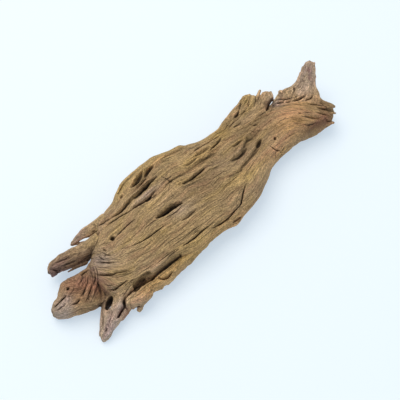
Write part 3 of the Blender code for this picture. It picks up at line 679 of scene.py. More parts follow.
def nearestOnLine(points, x, y):
    # the distance to a bent line, the share of its length at the nearest point, and how far left of it
    lengths = [math.dist(a, b) for a, b in zip(points, points[1:])]
    whole = sum(lengths)
    best = np.full(np.broadcast(x, y).shape, 1e3, np.float32)
    share = np.zeros(best.shape, np.float32)
    leftward = np.zeros(best.shape, np.float32)
    done = 0
    for (ax, ay), (bx, by), length in zip(points, points[1:], lengths):
        runX, runY = (bx - ax) / length, (by - ay) / length
        t = np.clip((x - ax) * runX + (y - ay) * runY, 0, length)
        away = np.hypot(x - ax - runX * t, y - ay - runY * t)
        nearer = away < best
        best = np.where(nearer, away, best)
        share = np.where(nearer, (done + t) / whole, share)
        leftward = np.where(nearer, runX * (y - ay) - runY * (x - ax), leftward)
        done += length
    return best, share, leftward


def taperAlong(share, margin, power=0.5):
    # 1 at the middle of a line and nearly 0 at its ends
    return np.sin(np.pi * np.clip(share, margin, 1 - margin)) ** power


# How carved lines waver: the reach, length and width of the noise, and its seed
ripples = [(0.5, 11, 6, 907), (0.35, 3.5, 2.5, 911)]


def carvedDepth(x, y):
    # the depth of every cut, fold and broken layer, seen in plan
    ripple = 0
    for reach, length, width, seed in ripples:
        ripple = ripple + reach * grainNoise(x / length, y / width, 0.5, seed)
    carved = np.zeros(np.broadcast(x, y).shape, np.float32)
    for points, halfWidth, depth in cuts.values():
        away, share, _ = nearestOnLine(points, x, y + ripple * min(1, 0.4 * halfWidth))
        taper = taperAlong(share, 0.02)
        fall = np.clip(1 - (away / (halfWidth * (0.35 + 0.65 * taper))) ** 2, 0, 1)
        carved = np.maximum(carved, depth * taper * fall**0.8)
    for points, halfWidth, depth in folds:
        away, share, _ = nearestOnLine(points, x, y + ripple)
        carved = carved + depth * np.exp(-((away / halfWidth) ** 2)) * taperAlong(share, 0.05)
    for points, reach, depth in ledges:
        away, share, leftward = nearestOnLine(points, x, y + 0.8 * ripple)
        taper = taperAlong(share, 0.02)
        carved = carved + depth * np.exp(-away / reach) * taper * smoothStep(-leftward, -0.5, 0.7)
    return carved


lineReach = 3  # how far from a hairline its colour may reach
lineFades = 2.4  # how far from a hairline its width has gone
lowestLine = 8  # no hairline is drawn below this height
steepFade = (-0.1, 0.25)  # hairlines fade as the surface turns to face down


def drawnLines(at):
    # for points on the surface: how far left of the nearest hairline each is, and that line's width there
    leftOf = np.full(len(at), lineReach, np.float32)
    wide = np.zeros(len(at), np.float32)
    nearest = np.full(len(at), lineReach, np.float32)
    for points, halfWidth in hairlines:
        low, high = np.min(points, 0) - lineReach, np.max(points, 0) + lineReach
        boxed = ((at[:, :2] > low) & (at[:, :2] < high)).all(axis=1)
        close = np.nonzero(boxed & (at[:, 2] > lowestLine))[0]
        away, share, leftward = nearestOnLine(points, at[close, 0], at[close, 1])
        wins = away < nearest[close]
        close, away, share, leftward = close[wins], away[wins], share[wins], leftward[wins]
        nearest[close] = away
        leftOf[close] = np.where(leftward < 0, -away, away)
        wide[close] = halfWidth * taperAlong(share, 0.04, 0.4) * np.clip(lineFades - away, 0, 1)
    return leftOf, wide


def crestAt(at):
    # how much a point lies on the crest of a raised fold, where the finish paints a highlight
    total = 0
    for points, halfWidth, depth in folds:
        if depth < 0:
            away, share, _ = nearestOnLine(points, at[:, 0], at[:, 1])
            taper = taperAlong(share, 0.05)
            total = total + np.exp(-((away / (0.8 * halfWidth)) ** 2)) * taper * min(1, -depth / 2)
    return np.clip(total, 0, 1)


def hollowForm(centre, halfSizes, heading, x, y, z):
    along, side = alongAndSide(centre, heading, x, y)
    reach = np.sqrt(sum((p / h) ** 2 for p, h in zip((along, side, z - centre[2]), halfSizes)))
    return (reach - 1) * min(halfSizes)


class Block:
    # the field of the whole wood on a regular grid of points

    def __init__(self):
        self.step = np.array(grid["step"])
        self.low = np.array(grid["low"])
        count = np.ceil((np.array(grid["high"]) - self.low) / self.step).astype(int) + 1
        axes = [(self.low[a] + self.step[a] * np.arange(count[a])).astype(np.float32) for a in range(3)]
        self.x = axes[0][:, None, None]
        self.y = axes[1][None, :, None]
        self.z = axes[2][None, None, :]
        self.shape = tuple(count)

    def partOf(self, wood, margin=8):
        # the slices of the grid that hold a wood
        turn = math.radians(wood["heading"])
        corners = []
        for along, left, right, top, bottom in wood["sections"]:
            for side, z in product((left, right), (top, bottom)):
                x = wood["origin"][0] + along * math.cos(turn) - side * math.sin(turn)
                y = wood["origin"][1] + along * math.sin(turn) + side * math.cos(turn)
                corners.append((x, y, z))
        for owner, tail, tip, _, _ in splinters:
            if owner is wood:
                corners += [tail, tip]
        lowest = np.floor((np.min(corners, 0) - margin - self.low) / self.step).astype(int)
        highest = np.ceil((np.max(corners, 0) + margin - self.low) / self.step).astype(int)
        return tuple(slice(max(a, 0), min(b, n)) for a, b, n in zip(lowest, highest, self.shape))

    def pointsOf(self, part):
        return self.x[part[0]], self.y[:, part[1]], self.z[:, :, part[2]]

    def sampled(self, values, points):
        # values at any points between those of the grid
        at = (points - self.low) / self.step
        cell = np.clip(np.floor(at).astype(int), 0, np.array(values.shape[:3]) - 2)
        t = np.clip(at - cell, 0, 1).astype(np.float32)
        total = 0
        for corner in product((0, 1), repeat=3):
            weight = np.prod([t[:, a] if corner[a] else 1 - t[:, a] for a in range(3)], axis=0)
            value = values[cell[:, 0] + corner[0], cell[:, 1] + corner[1], cell[:, 2] + corner[2]]
            total = total + (weight[:, None] if value.ndim > 1 else weight) * value
        return total


def blurred(values, reach):
    # a running mean along each axis
    for axis in range(3):
        r = max(1, int(round(reach[axis])))
        first = np.repeat(np.take(values, [0], axis), r + 1, axis)
        last = np.repeat(np.take(values, [-1], axis), r, axis)
        running = np.cumsum(np.concatenate((first, values, last), axis), axis, dtype=np.float64)
        size = 2 * r + 1
        count = values.shape[axis]
        ahead = np.take(running, np.arange(size, size + count), axis)
        behind = np.take(running, np.arange(0, count), axis)
        values = ((ahead - behind) / size).astype(np.float32)
    return values


farOff = 60  # stands for no wood near
grainBand = (-13, 3)  # the depths, from under the smooth form to over it, where the grain is worked out
grainStrength = {"usual": 0.75, "least": 0.2, "most": 1.6}
grainShare = 4  # how far from the nearest wood another still has a say in the grain
cleanLength = 8  # over which a clean end loses its grain
cutReach = (-20, -14)  # cuts fade out this far under the upper surface


def joinForms(block):
    # every wood's own distance field, the rounded union of them all, and whose form lies nearest
    union = formOf(trunk, block.x, block.y, block.z)[0].astype(np.float32)
    own = [(tuple(slice(0, n) for n in block.shape), union.copy())]
    first = union.copy()
    second = np.full(block.shape, farOff, np.float32)
    owner = np.zeros(block.shape, np.int8)
    for number, limb in enumerate(limbs, start=1):
        part = block.partOf(limb)
        form = formOf(limb, *block.pointsOf(part))[0].astype(np.float32)
        own.append((part, form))
        union[part] = smoothLower(union[part], form, limb["blend"])
        wins = form < first[part]
        second[part] = np.where(wins, first[part], np.minimum(second[part], form))
        owner[part] = np.where(wins, number, owner[part])
        first[part] = np.where(wins, form, first[part])
    print("smooth forms joined")
    return {"union": union, "own": own, "first": first, "second": second, "owner": owner}


def layGrain(block, joined):
    # the relief of every point near the surface, shared where two woods meet
    near = (joined["union"] > grainBand[0]) & (joined["union"] < grainBand[1])
    where = np.nonzero(near)
    x, y, z = block.x[where[0], 0, 0], block.y[0, where[1], 0], block.z[0, 0, where[2]]
    strength = grainStrength["usual"] + spotSum(roughness, x, y)
    strength = np.clip(strength, grainStrength["least"], grainStrength["most"]).astype(np.float32)
    relief = np.zeros(len(x), np.float32)
    weights = np.zeros(len(x), np.float32)
    lowest = joined["first"][near]
    whole = np.empty(block.shape, np.float32)
    for wood, (part, form) in zip(woods, joined["own"]):
        whole[:] = farOff
        whole[part] = form
        weight = np.clip(1 - (whole[near] - lowest) / grainShare, 0, 1) ** 2
        used = weight > 0
        _, along, across = formOf(wood, x[used], y[used], z[used])
        laid = reliefOf(wood, x[used], y[used], z[used], along, across, strength[used])
        if "cleanFrom" in wood:
            laid = laid * (1 - 0.75 * smoothStep(along, wood["cleanFrom"], wood["cleanFrom"] + cleanLength))
        relief[used] += weight[used] * laid
        weights[used] += weight[used]
    joined["relief"] = np.zeros(block.shape, np.float32)
    joined["relief"][near] = relief / weights
    print("grain laid over", len(x), "points")


def carveWood(block):
    # the final field: the joined forms less the grain, the cuts and the hollows, and flat where it stands
    joined = joinForms(block)
    layGrain(block, joined)
    inside = joined["union"] < 0
    topIndex = inside.shape[2] - 1 - np.argmax(inside[:, :, ::-1], axis=2)
    top = np.where(inside.any(axis=2), block.z[0, 0, topIndex], -50)[:, :, None]
    carved = carvedDepth(block.x, block.y)
    field = joined["union"] + joined["relief"] + carved * smoothStep(block.z - top, *cutReach)
    for centre, halfSizes, heading in hollows:
        field = np.maximum(field, -hollowForm(centre, halfSizes, heading, block.x, block.y, block.z))
    for _, tail, tip, tailRadius, tipRadius in splinters:
        thin = splinterForm(tail, tip, tailRadius, tipRadius, block.x, block.y, block.z)
        field = smoothLower(field, thin + splinterSkin["relief"] * joined["relief"], splinterSkin["blend"])
    joined["field"] = np.maximum(field, -block.z).astype(np.float32)
    print("cuts and hollows carved")
    return joined


def surfaceOf(field, low, step):
    # one point in each cell that the surface crosses, and one quad round each grid edge that it crosses
    inside = field < 0
    cells = np.array(field.shape) - 1
    edges = []
    for axis in range(3):
        a = [slice(None)] * 3
        b = [slice(None)] * 3
        a[axis], b[axis] = slice(None, -1), slice(1, None)
        crossing = np.nonzero(inside[tuple(a)] != inside[tuple(b)])
        at = np.stack(crossing, 1)
        lower = field[tuple(a)][crossing]
        upper = field[tuple(b)][crossing]
        point = at.astype(np.float64)
        point[:, axis] += lower / (lower - upper)
        edges.append((axis, at, point, inside[tuple(a)][crossing]))
    ids, places = [], []
    for axis, at, point, _ in edges:
        others = [o for o in range(3) if o != axis]
        for shift in product((0, -1), repeat=2):
            cell = at.copy()
            cell[:, others[0]] += shift[0]
            cell[:, others[1]] += shift[1]
            good = ((cell >= 0) & (cell < cells)).all(axis=1)
            ids.append(np.ravel_multi_index(cell[good].T, cells))
            places.append(point[good])
    places = np.concatenate(places)
    used, number = np.unique(np.concatenate(ids), return_inverse=True)
    count = np.bincount(number)
    points = np.stack([np.bincount(number, places[:, a]) / count for a in range(3)], 1)
    quads = []
    for axis, at, _, lowerInside in edges:
        b, c = [(axis + 1) % 3, (axis + 2) % 3]
        corners = []
        good = np.ones(len(at), bool)
        for shift in ((0, 0), (-1, 0), (-1, -1), (0, -1)):
            cell = at.copy()
            cell[:, b] += shift[0]
            cell[:, c] += shift[1]
            good &= ((cell >= 0) & (cell < cells)).all(axis=1)
            corners.append(cell)
        quad = np.stack([np.ravel_multi_index(cell[good].T, cells) for cell in corners], 1)
        turned = lowerInside[good]
        quad[~turned] = quad[~turned][:, ::-1]
        quads.append(np.searchsorted(used, quad))
    return points * step + low, np.concatenate(quads)


def largestPart(points, quads):
    # drops loose crumbs: keeps the points that are joined to the biggest part
    label = np.arange(len(points))
    ends = np.concatenate([quads[:, [0, 1]], quads[:, [1, 2]], quads[:, [2, 3]]])
    while True:
        before = label.copy()
        low = np.minimum(label[ends[:, 0]], label[ends[:, 1]])
        np.minimum.at(label, ends[:, 0], low)
        np.minimum.at(label, ends[:, 1], low)
        label = label[label]
        if (label == before).all():
            break
    kept = label == np.bincount(label).argmax()
    place = np.cumsum(kept) - 1
    return points[kept], place[quads[kept[quads[:, 0]]]]


def toFrame(points):
    # plan millimetres to metres in the frame, inside the box of the solids
    moved = (points - planShift) * mm
    inset = grid["inset"] * mm
    low = np.array(cadLow) + (inset, inset, 0)
    high = np.array(cadHigh) - (inset, inset, inset)
    return np.clip(moved, low, high)


def placed(name, data):
    # a new object in the scene
    made = bpy.data.objects.new(name, data)
    bpy.context.scene.collection.objects.link(made)
    return made


def meshFrom(name, points, faces):
    mesh = bpy.data.meshes.new(name)
    mesh.vertices.add(len(points))
    mesh.vertices.foreach_set("co", toFrame(points).astype(np.float32).ravel())
    mesh.loops.add(faces.size)
    mesh.loops.foreach_set("vertex_index", faces.astype(np.int32).ravel())
    mesh.polygons.add(len(faces))
    mesh.polygons.foreach_set("loop_start", np.arange(0, faces.size, faces.shape[1], dtype=np.int32))
    mesh.update(calc_edges=True)
    mesh.validate()
    return placed(name, mesh)


def lightened(piece):
    # brings a piece under the most triangles that it may have
    triangles = sum(len(p.vertices) - 2 for p in piece.data.polygons)
    if triangles <= grid["mostTriangles"]:
        return
    thin = piece.modifiers.new("thin", "DECIMATE")
    thin.ratio = grid["mostTriangles"] / triangles
    evaluated = piece.evaluated_get(bpy.context.evaluated_depsgraph_get())
    thinned = bpy.data.meshes.new_from_object(evaluated)
    piece.modifiers.clear()
    piece.data = thinned


class Signal:
    # the output of a node, which takes part in arithmetic: each operator adds its Math node

    def __init__(self, sheet, socket):
        self.sheet = sheet
        self.socket = socket

    def combined(self, operation, first, second):
        values = {"Value": first, "Value_001": second}
        return self.sheet.add("ShaderNodeMath", {"operation": operation}, values)["Value"]

    def __add__(self, other):
        return self.combined("ADD", self, other)

    def __radd__(self, other):
        return self.combined("ADD", other, self)

    def __sub__(self, other):
        return self.combined("SUBTRACT", self, other)

    def __rsub__(self, other):
        return self.combined("SUBTRACT", other, self)

    def __mul__(self, other):
        return self.combined("MULTIPLY", self, other)

    def __rmul__(self, other):
        return self.combined("MULTIPLY", other, self)

    def __abs__(self):
        return self.sheet.add("ShaderNodeMath", {"operation": "ABSOLUTE"}, {"Value": self})["Value"]

    def between(self, low, high):
        # 0 below low, 1 above high, and smooth in between
        values = {"Value": self, "From Min": low, "From Max": high, "To Min": 0.0, "To Max": 1.0}
        return self.sheet.add("ShaderNodeMapRange", {"interpolation_type": "SMOOTHSTEP"}, values)["Result"]


class Sheet:
    # the node tree of one material

    def __init__(self, name):
        self.material = bpy.data.materials.new(name)
        self.material.use_nodes = True
        self.tree = self.material.node_tree
        self.shader = self.tree.nodes["Principled BSDF"]

    def add(self, kind, settings=None, values=None):
        node = self.tree.nodes.new(kind)
        for name, value in (settings or {}).items():
            setattr(node, name, value)
        self.fill(node, values or {})
        return {output.identifier: Signal(self, output) for output in node.outputs}

    def fill(self, node, values):
        for name, value in values.items():
            socket = next(s for s in node.inputs if s.identifier == name)
            if isinstance(value, Signal):
                self.tree.links.new(value.socket, socket)
            else:
                socket.default_value = value

    def attribute(self, name):
        return self.add("ShaderNodeAttribute", {"attribute_name": name})

    def stretched(self, vector, along, across):
        # the grain's coordinates in lengths and widths of one feature
        scale = (1 / along, 1 / across, 1 / across)
        values = {"Vector": vector, "Vector_001": scale}
        return self.add("ShaderNodeVectorMath", {"operation": "MULTIPLY"}, values)["Vector"]

    def noise(self, vector, detail, rough, twist=0.0):
        values = {"Vector": vector, "Scale": 1.0, "Detail": detail, "Roughness": rough, "Distortion": twist}
        return self.add("ShaderNodeTexNoise", None, values)["Fac"]

    def mixed(self, factor, first, second, how="MIX"):
        settings = {"data_type": "RGBA", "blend_type": how, "clamp_factor": True}
        values = {"Factor_Float": factor, "A_Color": first, "B_Color": second}
        return self.add("ShaderNodeMix", settings, values)["Result_Color"]

    def shaded(self, colour, amount):
        values = {"Vector": colour, "Scale": amount}
        return self.add("ShaderNodeVectorMath", {"operation": "SCALE"}, values)["Vector"]


# Colours and light of the wood. The crevice colour and the cavity, hollow and sunk darks are painted shade,
# and the crest colour and the edge light are painted highlights. A dark or light is its amount, and the range
# of the measure that brings it.
finish = {
    "warm": (0.470, 0.300, 0.140, 1),
    "cool": (0.410, 0.270, 0.142, 1),
    # painted shade: the near black colour that deep crevices sink to
    "crevice": (0.030, 0.019, 0.012, 1),
    # painted highlight: the colour that the crests of raised folds are lifted towards
    "crest": (1.10, 1.07, 1.08, 1),
    "blush": (1.07, 0.98, 1.0, 1),
    "olive": (1.0, 1.0, 0.90, 1),
    "coolSpread": (0.30, 0.75),
    "stainShare": (0.6, 0.8),
    "crestShare": 0.9,
    "hueSpread": (0.50, 0.68),
    # painted shade: how much cavities, hollows and sunk places darken the colour
    "cavityDark": (0.55, 0.02, 0.15),
    "hollowDark": (0.42, 0.05, 0.26),
    "sunkDark": (0.92, 2.8, 10.0),
    # painted highlight: how much convex edges lighten the colour
    "edgeLight": (0.24, 0.02, 0.14),
    "crackFray": 0.5,
    "crackEdge": (-0.08, 0.3),
    "crackStart": (0.05, 0.3),
    "crackDark": 0.74,
    "crackDepth": 1.2,
    "bump": 0.0007,  # metres
    "roughness": (0.78, 0.95),
    "specular": 0.25,
}

# Stains: what each does to the colour, and where it lies: centre, half sizes, and how strong. Some of them
# are partly or wholly painted shade.
stains = {
    "silver": ((1.06, 1.20, 1.88, 1), [
        ((-172, -16, 20), (10, 14, 40), 1.0), ((-163, -13, 28), (8, 7, 12), 0.9),
        ((-150, -56, 10), (18, 14, 40), 0.75), ((-136, -46, 14), (14, 14, 40), 0.55),
        ((188, 24, 40), (14, 16, 16), 0.75), ((170, 16, 30), (16, 12, 20), 0.5),
        ((-118, -6, 36), (12, 13, 14), 0.6), ((-114, 34, 25), (14, 7, 30), 0.5),
        ((-156, 20, 20), (7, 8, 20), 0.3), ((-24, -16, 42), (14, 7, 9), 0.5),
        ((138, 21, 34), (11, 8, 12), 0.8), ((-86, -47, 32), (26, 5, 9), 0.3),
        ((-125, -48, 22), (5, 4, 9), 0.6), ((-40, 20, 41), (16, 3, 9), 0.5),
        ((-110, -52, 20), (10, 8, 20), 0.3),
    ]),
    # grey of the fingers, and partly painted shade under the long finger
    "smokeGreyAndShade": ((0.50, 0.48, 0.76, 1), [
        ((-148, 22, 20), (18, 12, 30), 1.0), ((-114, 36, 22), (12, 6, 30), 0.35),
        ((-156, 18, 12), (8, 8, 9), 0.5), ((-120, 14, 20), (12, 6, 20), 0.4),
    ]),
    "rust": ((0.70, 0.52, 0.60, 1), [
        ((-145, -8, 26), (15, 15, 30), 0.9), ((154, -29, 24), (16, 6, 12), 0.3),
        ((-132, -14, 20), (10, 14, 30), 0.6), ((150, -27, 28), (18, 5, 9), 0.5),
        ((168, -26, 24), (10, 8, 12), 0.3), ((156, -24, 31), (14, 4, 4), 0.4),
        ((-126, -52, 10), (7, 5, 8), 0.9), ((95, -26, 30), (5, 5, 9), 0.25),
        ((190, 25, 40), (2.6, 3.4, 8), 0.8), ((186, 19, 36), (2.4, 3.4, 8), 0.7),
        ((-132, -24, 20), (8, 8, 16), 0.6), ((172, -16, 30), (8, 12, 9), 0.4),
        ((-150, 8, 12), (24, 10, 12), 0.5),
    ]),
    "orange": ((1.24, 1.06, 0.98, 1), [
        ((134, -10, 38), (26, 20, 16), 0.9), ((98, -22, 30), (22, 9, 16), 0.5),
        ((20, -54, 22), (60, 8, 12), 0.6), ((-134, -22, 27), (7, 8, 12), 0.3),
        ((-152, -20, 26), (7, 4, 9), 0.4), ((-90, -52, 22), (34, 6, 12), 0.5),
        ((150, 4, 36), (20, 10, 12), 0.5), ((150, -30, 22), (16, 6, 9), 0.7),
    ]),
    "straw": ((1.06, 1.04, 0.72, 1), [
        ((-52, 46, 38), (24, 12, 20), 0.6), ((10, 48, 36), (40, 9, 20), 0.7),
        ((68, 30, 34), (12, 9, 20), 0.9), ((30, 20, 40), (34, 9, 12), 0.5),
        ((-60, -22, 40), (36, 14, 16), 0.4), ((-80, -50, 26), (40, 6, 12), 0.6),
        ((112, 38, 42), (9, 9, 12), 0.6), ((46, -24, 38), (26, 9, 16), 0.6),
        ((-20, -50, 20), (40, 8, 16), 0.6),
    ]),
    "pale": ((1.17, 1.15, 1.15, 1), [
        ((-100, -51, 24), (30, 5, 8), 0.9), ((96, -23, 29), (30, 12, 15), 1.25),
        ((176, 16, 36), (22, 14, 16), 0.7), ((112, 34, 42), (18, 10, 8), 0.5),
        ((-90, -6, 41), (36, 20, 9), 0.45), ((134, -3, 39), (16, 7, 8), 0.6),
        ((122, -6, 38), (24, 12, 8), 0.7), ((157, -24, 30), (12, 2.4, 6), 0.8),
        ((-166, -11.5, 26), (6, 3.5, 9), 0.9),
    ]),
    # painted shade: dark in the cave, in the spike's hole, under the long finger and on the broken stub's
    # shaded face
    "paintedShade": ((0.36, 0.32, 0.30, 1), [
        ((-97.4, -42, 23), (7, 3, 7), 1.0), ((129, 20.5, 38), (9, 3, 9), 0.9),
        ((-131, -35.4, 12), (5, 4, 9), 1.0), ((-130, 12, 16), (14, 3, 5), 0.6),
    ]),
    # darker tone, and partly painted shade: on the near wall under the plate, under the lip, on the knob's
    # and snout's flanks and on the broken stub's face
    "umberAndShade": ((0.58, 0.56, 0.54, 1), [
        ((-140, -16, 24), (14, 12, 16), 0.2), ((74, 8, 37), (20, 14, 20), 0.5),
        ((40, 22, 38), (26, 5, 16), 0.25), ((-36, 30, 40), (20, 6, 16), 0.35),
        ((20, -2, 41), (26, 9, 16), 0.25), ((-68, -45, 27), (22, 3, 6), 0.5),
        ((-95, -40, 24), (12, 4, 7), 0.7), ((90, 0, 34), (10, 10, 16), 0.3),
        ((-130, -29, 26), (4, 9, 10), 0.6), ((10, 10, 41), (16, 8, 12), 0.2),
        ((8, -8, 42), (34, 16, 12), 0.75), ((-20, 26, 42), (20, 10, 12), 0.3),
        ((-122, -4, 26), (6, 12, 6), 0.7), ((100, 10, 36), (14, 6, 16), 0.4),
        ((-60, 2, 41), (20, 8, 12), 0.15), ((30, -44, 34), (40, 6, 9), 0.3),
        ((128, 21, 42), (9, 3.5, 6), 1.0), ((150, -27, 26), (20, 6, 9), 1.3),
        ((122, -18, 34), (7, 4, 8), 0.5), ((136, -9, 38), (6, 4, 6), 0.35), ((110, -2, 37), (8, 4, 8), 0.3),
        ((-140, -31, 13), (20, 6, 12), 0.6), ((-66, -14, 42), (40, 24, 12), 0.2),
    ]),
}


def stainAt(spots, at):
    total = 0
    for centre, halfSizes, amount in spots:
        total = total + amount * np.exp(-sum(((at[:, a] - centre[a]) / halfSizes[a]) ** 2 for a in range(3)))
    return np.clip(total, 0, 1)


fineSpread = (0.34, 0.66)

# Noise in the grain. A layer's size is the length and width of its features, then its detail, roughness and
# distortion. Its spread is the range that becomes 0 to 1. Its shade is the least light that it leaves, and
# what it adds to that. Its height is its share of the bump.
grainLayers = {
    "streaks": {"size": (90, 3.2, 3.0, 0.55), "spread": fineSpread, "shade": (0.92, 0.16), "height": 0.4},
    "fibres": {"size": (55, 1.3, 3.0, 0.65, 0.1), "spread": fineSpread, "shade": (0.80, 0.40), "height": 0.6},
    "threads": {"size": (16, 0.8, 2.0, 0.6), "spread": fineSpread, "shade": (0.82, 0.36), "height": 0.3},
    "stipple": {"size": (1.6, 1.1, 2.0, 0.6), "spread": fineSpread, "shade": (0.70, 0.58), "height": 0.25},
    "split": {"size": (60, 4.0, 2.0, 0.5), "spread": (0.0, 0.018), "shade": (0.66, 0.34), "height": 0.5},
    "patches": {"size": (60, 16, 2.0, 0.5, 0.4), "shade": (0.92, 0.26)},
    "mottle": {"size": (18, 9, 3.0, 0.6, 0.6), "spread": (0.32, 0.68), "shade": (0.92, 0.16)},
    "frayed": {"size": (9, 0.7, 2.0, 0.6)},
    "hue": {"size": (30, 8, 3.0, 0.6, 0.3)},
}


def grainSignals(sheet, grain):
    signals = {}
    for name, layer in grainLayers.items():
        length, width, *texture = layer["size"]
        signal = sheet.noise(sheet.stretched(grain, length, width), *texture)
        if name == "split":
            signal = abs(signal - 0.5)
        signals[name] = signal.between(*layer["spread"]) if "spread" in layer else signal
    return signals


def shadeAndHeight(layers):
    # the light that the layers leave, multiplied up, and the bump that they add up to
    shade, height = 1.0, 0.0
    for name, layer in grainLayers.items():
        if "shade" in layer:
            least, more = layer["shade"]
            shade = shade * (least + more * layers[name])
        if "height" in layer:
            height = height + layers[name] * layer["height"]
    return shade, height


def woodColour(sheet, tones, layers, crest):
    patches, hue = layers["patches"], layers["hue"]
    least, more = tones["stainShare"]
    colour = sheet.mixed(patches.between(*tones["coolSpread"]), tones["warm"], tones["cool"])
    # painted highlight on the crests of raised folds
    colour = sheet.mixed(crest * tones["crestShare"], colour, tones["crest"], "MULTIPLY")
    colour = sheet.mixed(hue.between(*tones["hueSpread"]), colour, tones["blush"], "MULTIPLY")
    colour = sheet.mixed((1 - hue).between(*tones["hueSpread"]), colour, tones["olive"], "MULTIPLY")
    # stains, some of them painted shade
    for stain, (stainColour, _) in stains.items():
        amount = sheet.attribute(stain)["Fac"] * (least + more * patches)
        colour = sheet.mixed(amount, colour, stainColour, "MULTIPLY")
    return colour


def woodFinish(name, tones):
    sheet = Sheet(name)
    grain = sheet.attribute("grain")["Vector"]
    cavity, hollow, sunk, crackSide, crackWidth, crest = (
        sheet.attribute(measure)["Fac"]
        for measure in ("cavity", "hollow", "sunk", "crackSide", "crackWidth", "crest")
    )
    layers = grainSignals(sheet, grain)
    fray = tones["crackFray"]
    crack = crackWidth + fray * layers["frayed"] - fray / 2 - abs(crackSide)
    crack = crack.between(*tones["crackEdge"]) * crackWidth.between(*tones["crackStart"])

    shade, height = shadeAndHeight(layers)
    # painted shade: the colour darkens in cavities and hollows
    for measure, (amount, low, high) in ((cavity, tones["cavityDark"]), (hollow, tones["hollowDark"])):
        shade = shade * (1 - amount * measure.between(low, high))
    # painted highlight on convex edges, then the dark hairline cracks
    amount, low, high = tones["edgeLight"]
    shade = shade * (1 + amount * (0 - cavity).between(low, high)) * (1 - tones["crackDark"] * crack)

    colour = sheet.shaded(woodColour(sheet, tones, layers, crest), shade)
    # painted shade: deep under the smooth form the colour sinks towards the crevice colour
    amount, low, high = tones["sunkDark"]
    colour = sheet.mixed(sunk.between(low, high) * amount, colour, tones["crevice"])

    height = height - crack * tones["crackDepth"]
    values = {"Strength": 1.0, "Distance": tones["bump"], "Height": height}
    bump = sheet.add("ShaderNodeBump", None, values)["Normal"]
    low, high = tones["roughness"]
    sheet.fill(sheet.shader, {
        "Base Color": colour,
        "Roughness": low + (high - low) * layers["fibres"],
        "Specular IOR Level": tones["specular"],
        "Normal": bump,
    })
    return sheet.material


overlap = {"sinks": 0.8, "length": 2.5}  # how a piece runs on under its neighbours


def finishPiece(block, carved, wood, number, material):
    # one limb or the trunk, cut from the whole where another wood lies nearer, and a little longer under it
    part, form = carved["own"][number]
    mine = carved["owner"][part] == number
    others = np.where(mine, carved["second"][part], carved["first"][part])
    border = (form - others) * 0.5
    sunken = carved["field"][part] + overlap["sinks"] * np.maximum(border, 0)
    field = np.maximum(sunken, border - overlap["length"])
    low = block.low + block.step * [s.start for s in part]
    points, quads = largestPart(*surfaceOf(field, low, block.step))
    piece = meshFrom(wood["node"] + "Wood", points, quads)
    lightened(piece)
    mesh = piece.data
    count = len(mesh.vertices)
    flat = np.empty(count * 3, np.float32)
    mesh.vertices.foreach_get("co", flat)
    at = flat.reshape(-1, 3) / mm + planShift

    _, along, across = formOf(wood, at[:, 0], at[:, 1], at[:, 2])
    vector = mesh.attributes.new("grain", "FLOAT_VECTOR", "POINT")
    vector.data.foreach_set("vector", np.stack([along, across, at[:, 2]], 1).astype(np.float32).ravel())
    # measures for the painted shade in cavities, hollows and sunk places, and for the painted highlight on
    # crests
    values = {
        "cavity": block.sampled(carved["cavity"], at) - 0.5,
        "hollow": block.sampled(carved["hollow"], at) - 0.5,
        "sunk": -block.sampled(carved["union"], at),
        "crest": crestAt(at),
    }
    values["crackSide"], values["crackWidth"] = drawnLines(at)
    normals = block.sampled(carved["slope"], at)
    normals /= np.maximum(np.linalg.norm(normals, axis=1, keepdims=True), 1e-6)
    values["crackWidth"] = values["crackWidth"] * smoothStep(normals[:, 2], *steepFade)
    # stains, some of them painted shade
    for stain, (_, spots) in stains.items():
        values[stain] = stainAt(spots, at)
    for name, value in values.items():
        attribute = mesh.attributes.new(name, "FLOAT", "POINT")
        attribute.data.foreach_set("value", value.astype(np.float32))
    mesh.polygons.foreach_set("use_smooth", np.ones(len(mesh.polygons), bool))
    mesh.normals_split_custom_set_from_vertices(normals.tolist())

    mesh.materials.append(material)
    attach(piece, "root")
    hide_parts(wood["node"])
    print(wood["node"], "made:", count, "points,", len(mesh.polygons), "faces")


# How far the two measures of a crevice look round, in two passes each. The finish paints shade and highlight
# with them.
creviceReach = {"cavity": (1.6, 1.2), "hollow": (4.5, 3.5)}


def buildWood():
    block = Block()
    carved = carveWood(block)
    solid = (carved["field"] < 0).astype(np.float32)
    for name, reaches in creviceReach.items():
        carved[name] = solid
        for reach in reaches:
            carved[name] = blurred(carved[name], reach / block.step)
    carved["slope"] = np.stack(np.gradient(carved["field"], *block.step), -1).astype(np.float32)
    print("crevices shaded")
    material = woodFinish("driftwoodGrain", finish)
    for number, wood in enumerate(woods):
        finishPiece(block, carved, wood, number, material)


stageSet = {
    "floorColour": (0.54, 0.52, 0.47, 1),
    "floorGlow": (0.365, 0.453, 0.55, 1),
    "floorSize": 4.0,
    "floorDrop": 0.0002,
    "skyColour": (0.80, 0.90, 1.0),
    "skyStrength": 0.70,
    "keyPlace": (-0.15, 0.9, 2.2),
    "keySize": 1.8,
    "keyPower": 30.0,
    "keyColour": (1.0, 0.975, 0.94),
}


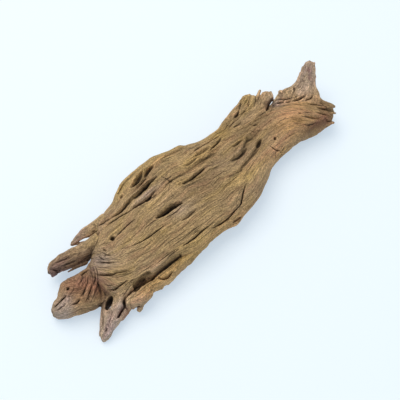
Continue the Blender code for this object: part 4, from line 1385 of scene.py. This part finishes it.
def buildStage():
    sheet = Sheet("paleFloor")
    sheet.fill(sheet.shader, {
        "Base Color": stageSet["floorColour"], "Emission Color": stageSet["floorGlow"],
        "Emission Strength": 1.0, "Roughness": 0.9, "Specular IOR Level": 0.1,
    })
    half = stageSet["floorSize"] / 2
    mesh = bpy.data.meshes.new("paleFloor")
    corners = [(-half, -half, 0), (half, -half, 0), (half, half, 0), (-half, half, 0)]
    mesh.from_pydata(corners, [], [(0, 1, 2, 3)])
    mesh.materials.append(sheet.material)
    floor = placed("paleFloor", mesh)
    floor.location.z = -stageSet["floorDrop"]

    world = bpy.data.worlds.new("softRoom")
    world.use_nodes = True
    background = world.node_tree.nodes["Background"]
    background.inputs["Color"].default_value = (*stageSet["skyColour"], 1)
    background.inputs["Strength"].default_value = stageSet["skyStrength"]
    bpy.context.scene.world = world
    lamp = bpy.data.lights.new("keyLight", "AREA")
    lamp.size = stageSet["keySize"]
    lamp.energy = stageSet["keyPower"]
    lamp.color = stageSet["keyColour"]
    made = placed("keyLight", lamp)
    made.location = stageSet["keyPlace"]
    made.rotation_euler = (-Vector(stageSet["keyPlace"])).to_track_quat("-Z", "Y").to_euler()
    bpy.context.scene.view_settings.view_transform = "Standard"


camera = {
    "turn": 41, "elevation": 60, "distance": 0.8, "aimHeight": 0.020,
    "lens": 72, "sensor": 36, "nearest": 0.01,
    "photoWidth": 400, "pixelShift": (10, -4),
}


def buildCamera():
    turn, elevation = math.radians(camera["turn"]), math.radians(camera["elevation"])
    away = Vector((math.sin(turn), math.cos(turn), 0))
    aim = Vector((-planMiddle[0] * mm, -planMiddle[1] * mm, camera["aimHeight"]))
    eye = aim - away * camera["distance"] * math.cos(elevation)
    eye.z += camera["distance"] * math.sin(elevation)
    data = bpy.data.cameras.new("photoCamera")
    data.lens = camera["lens"]
    data.sensor_width = camera["sensor"]
    data.shift_x, data.shift_y = [pixels / camera["photoWidth"] for pixels in camera["pixelShift"]]
    data.clip_start = camera["nearest"]
    made = placed("photoCamera", data)
    made.location = eye
    made.rotation_euler = (aim - eye).to_track_quat("-Z", "Y").to_euler()
    bpy.context.scene.camera = made


buildCamera()
buildStage()
buildWood()
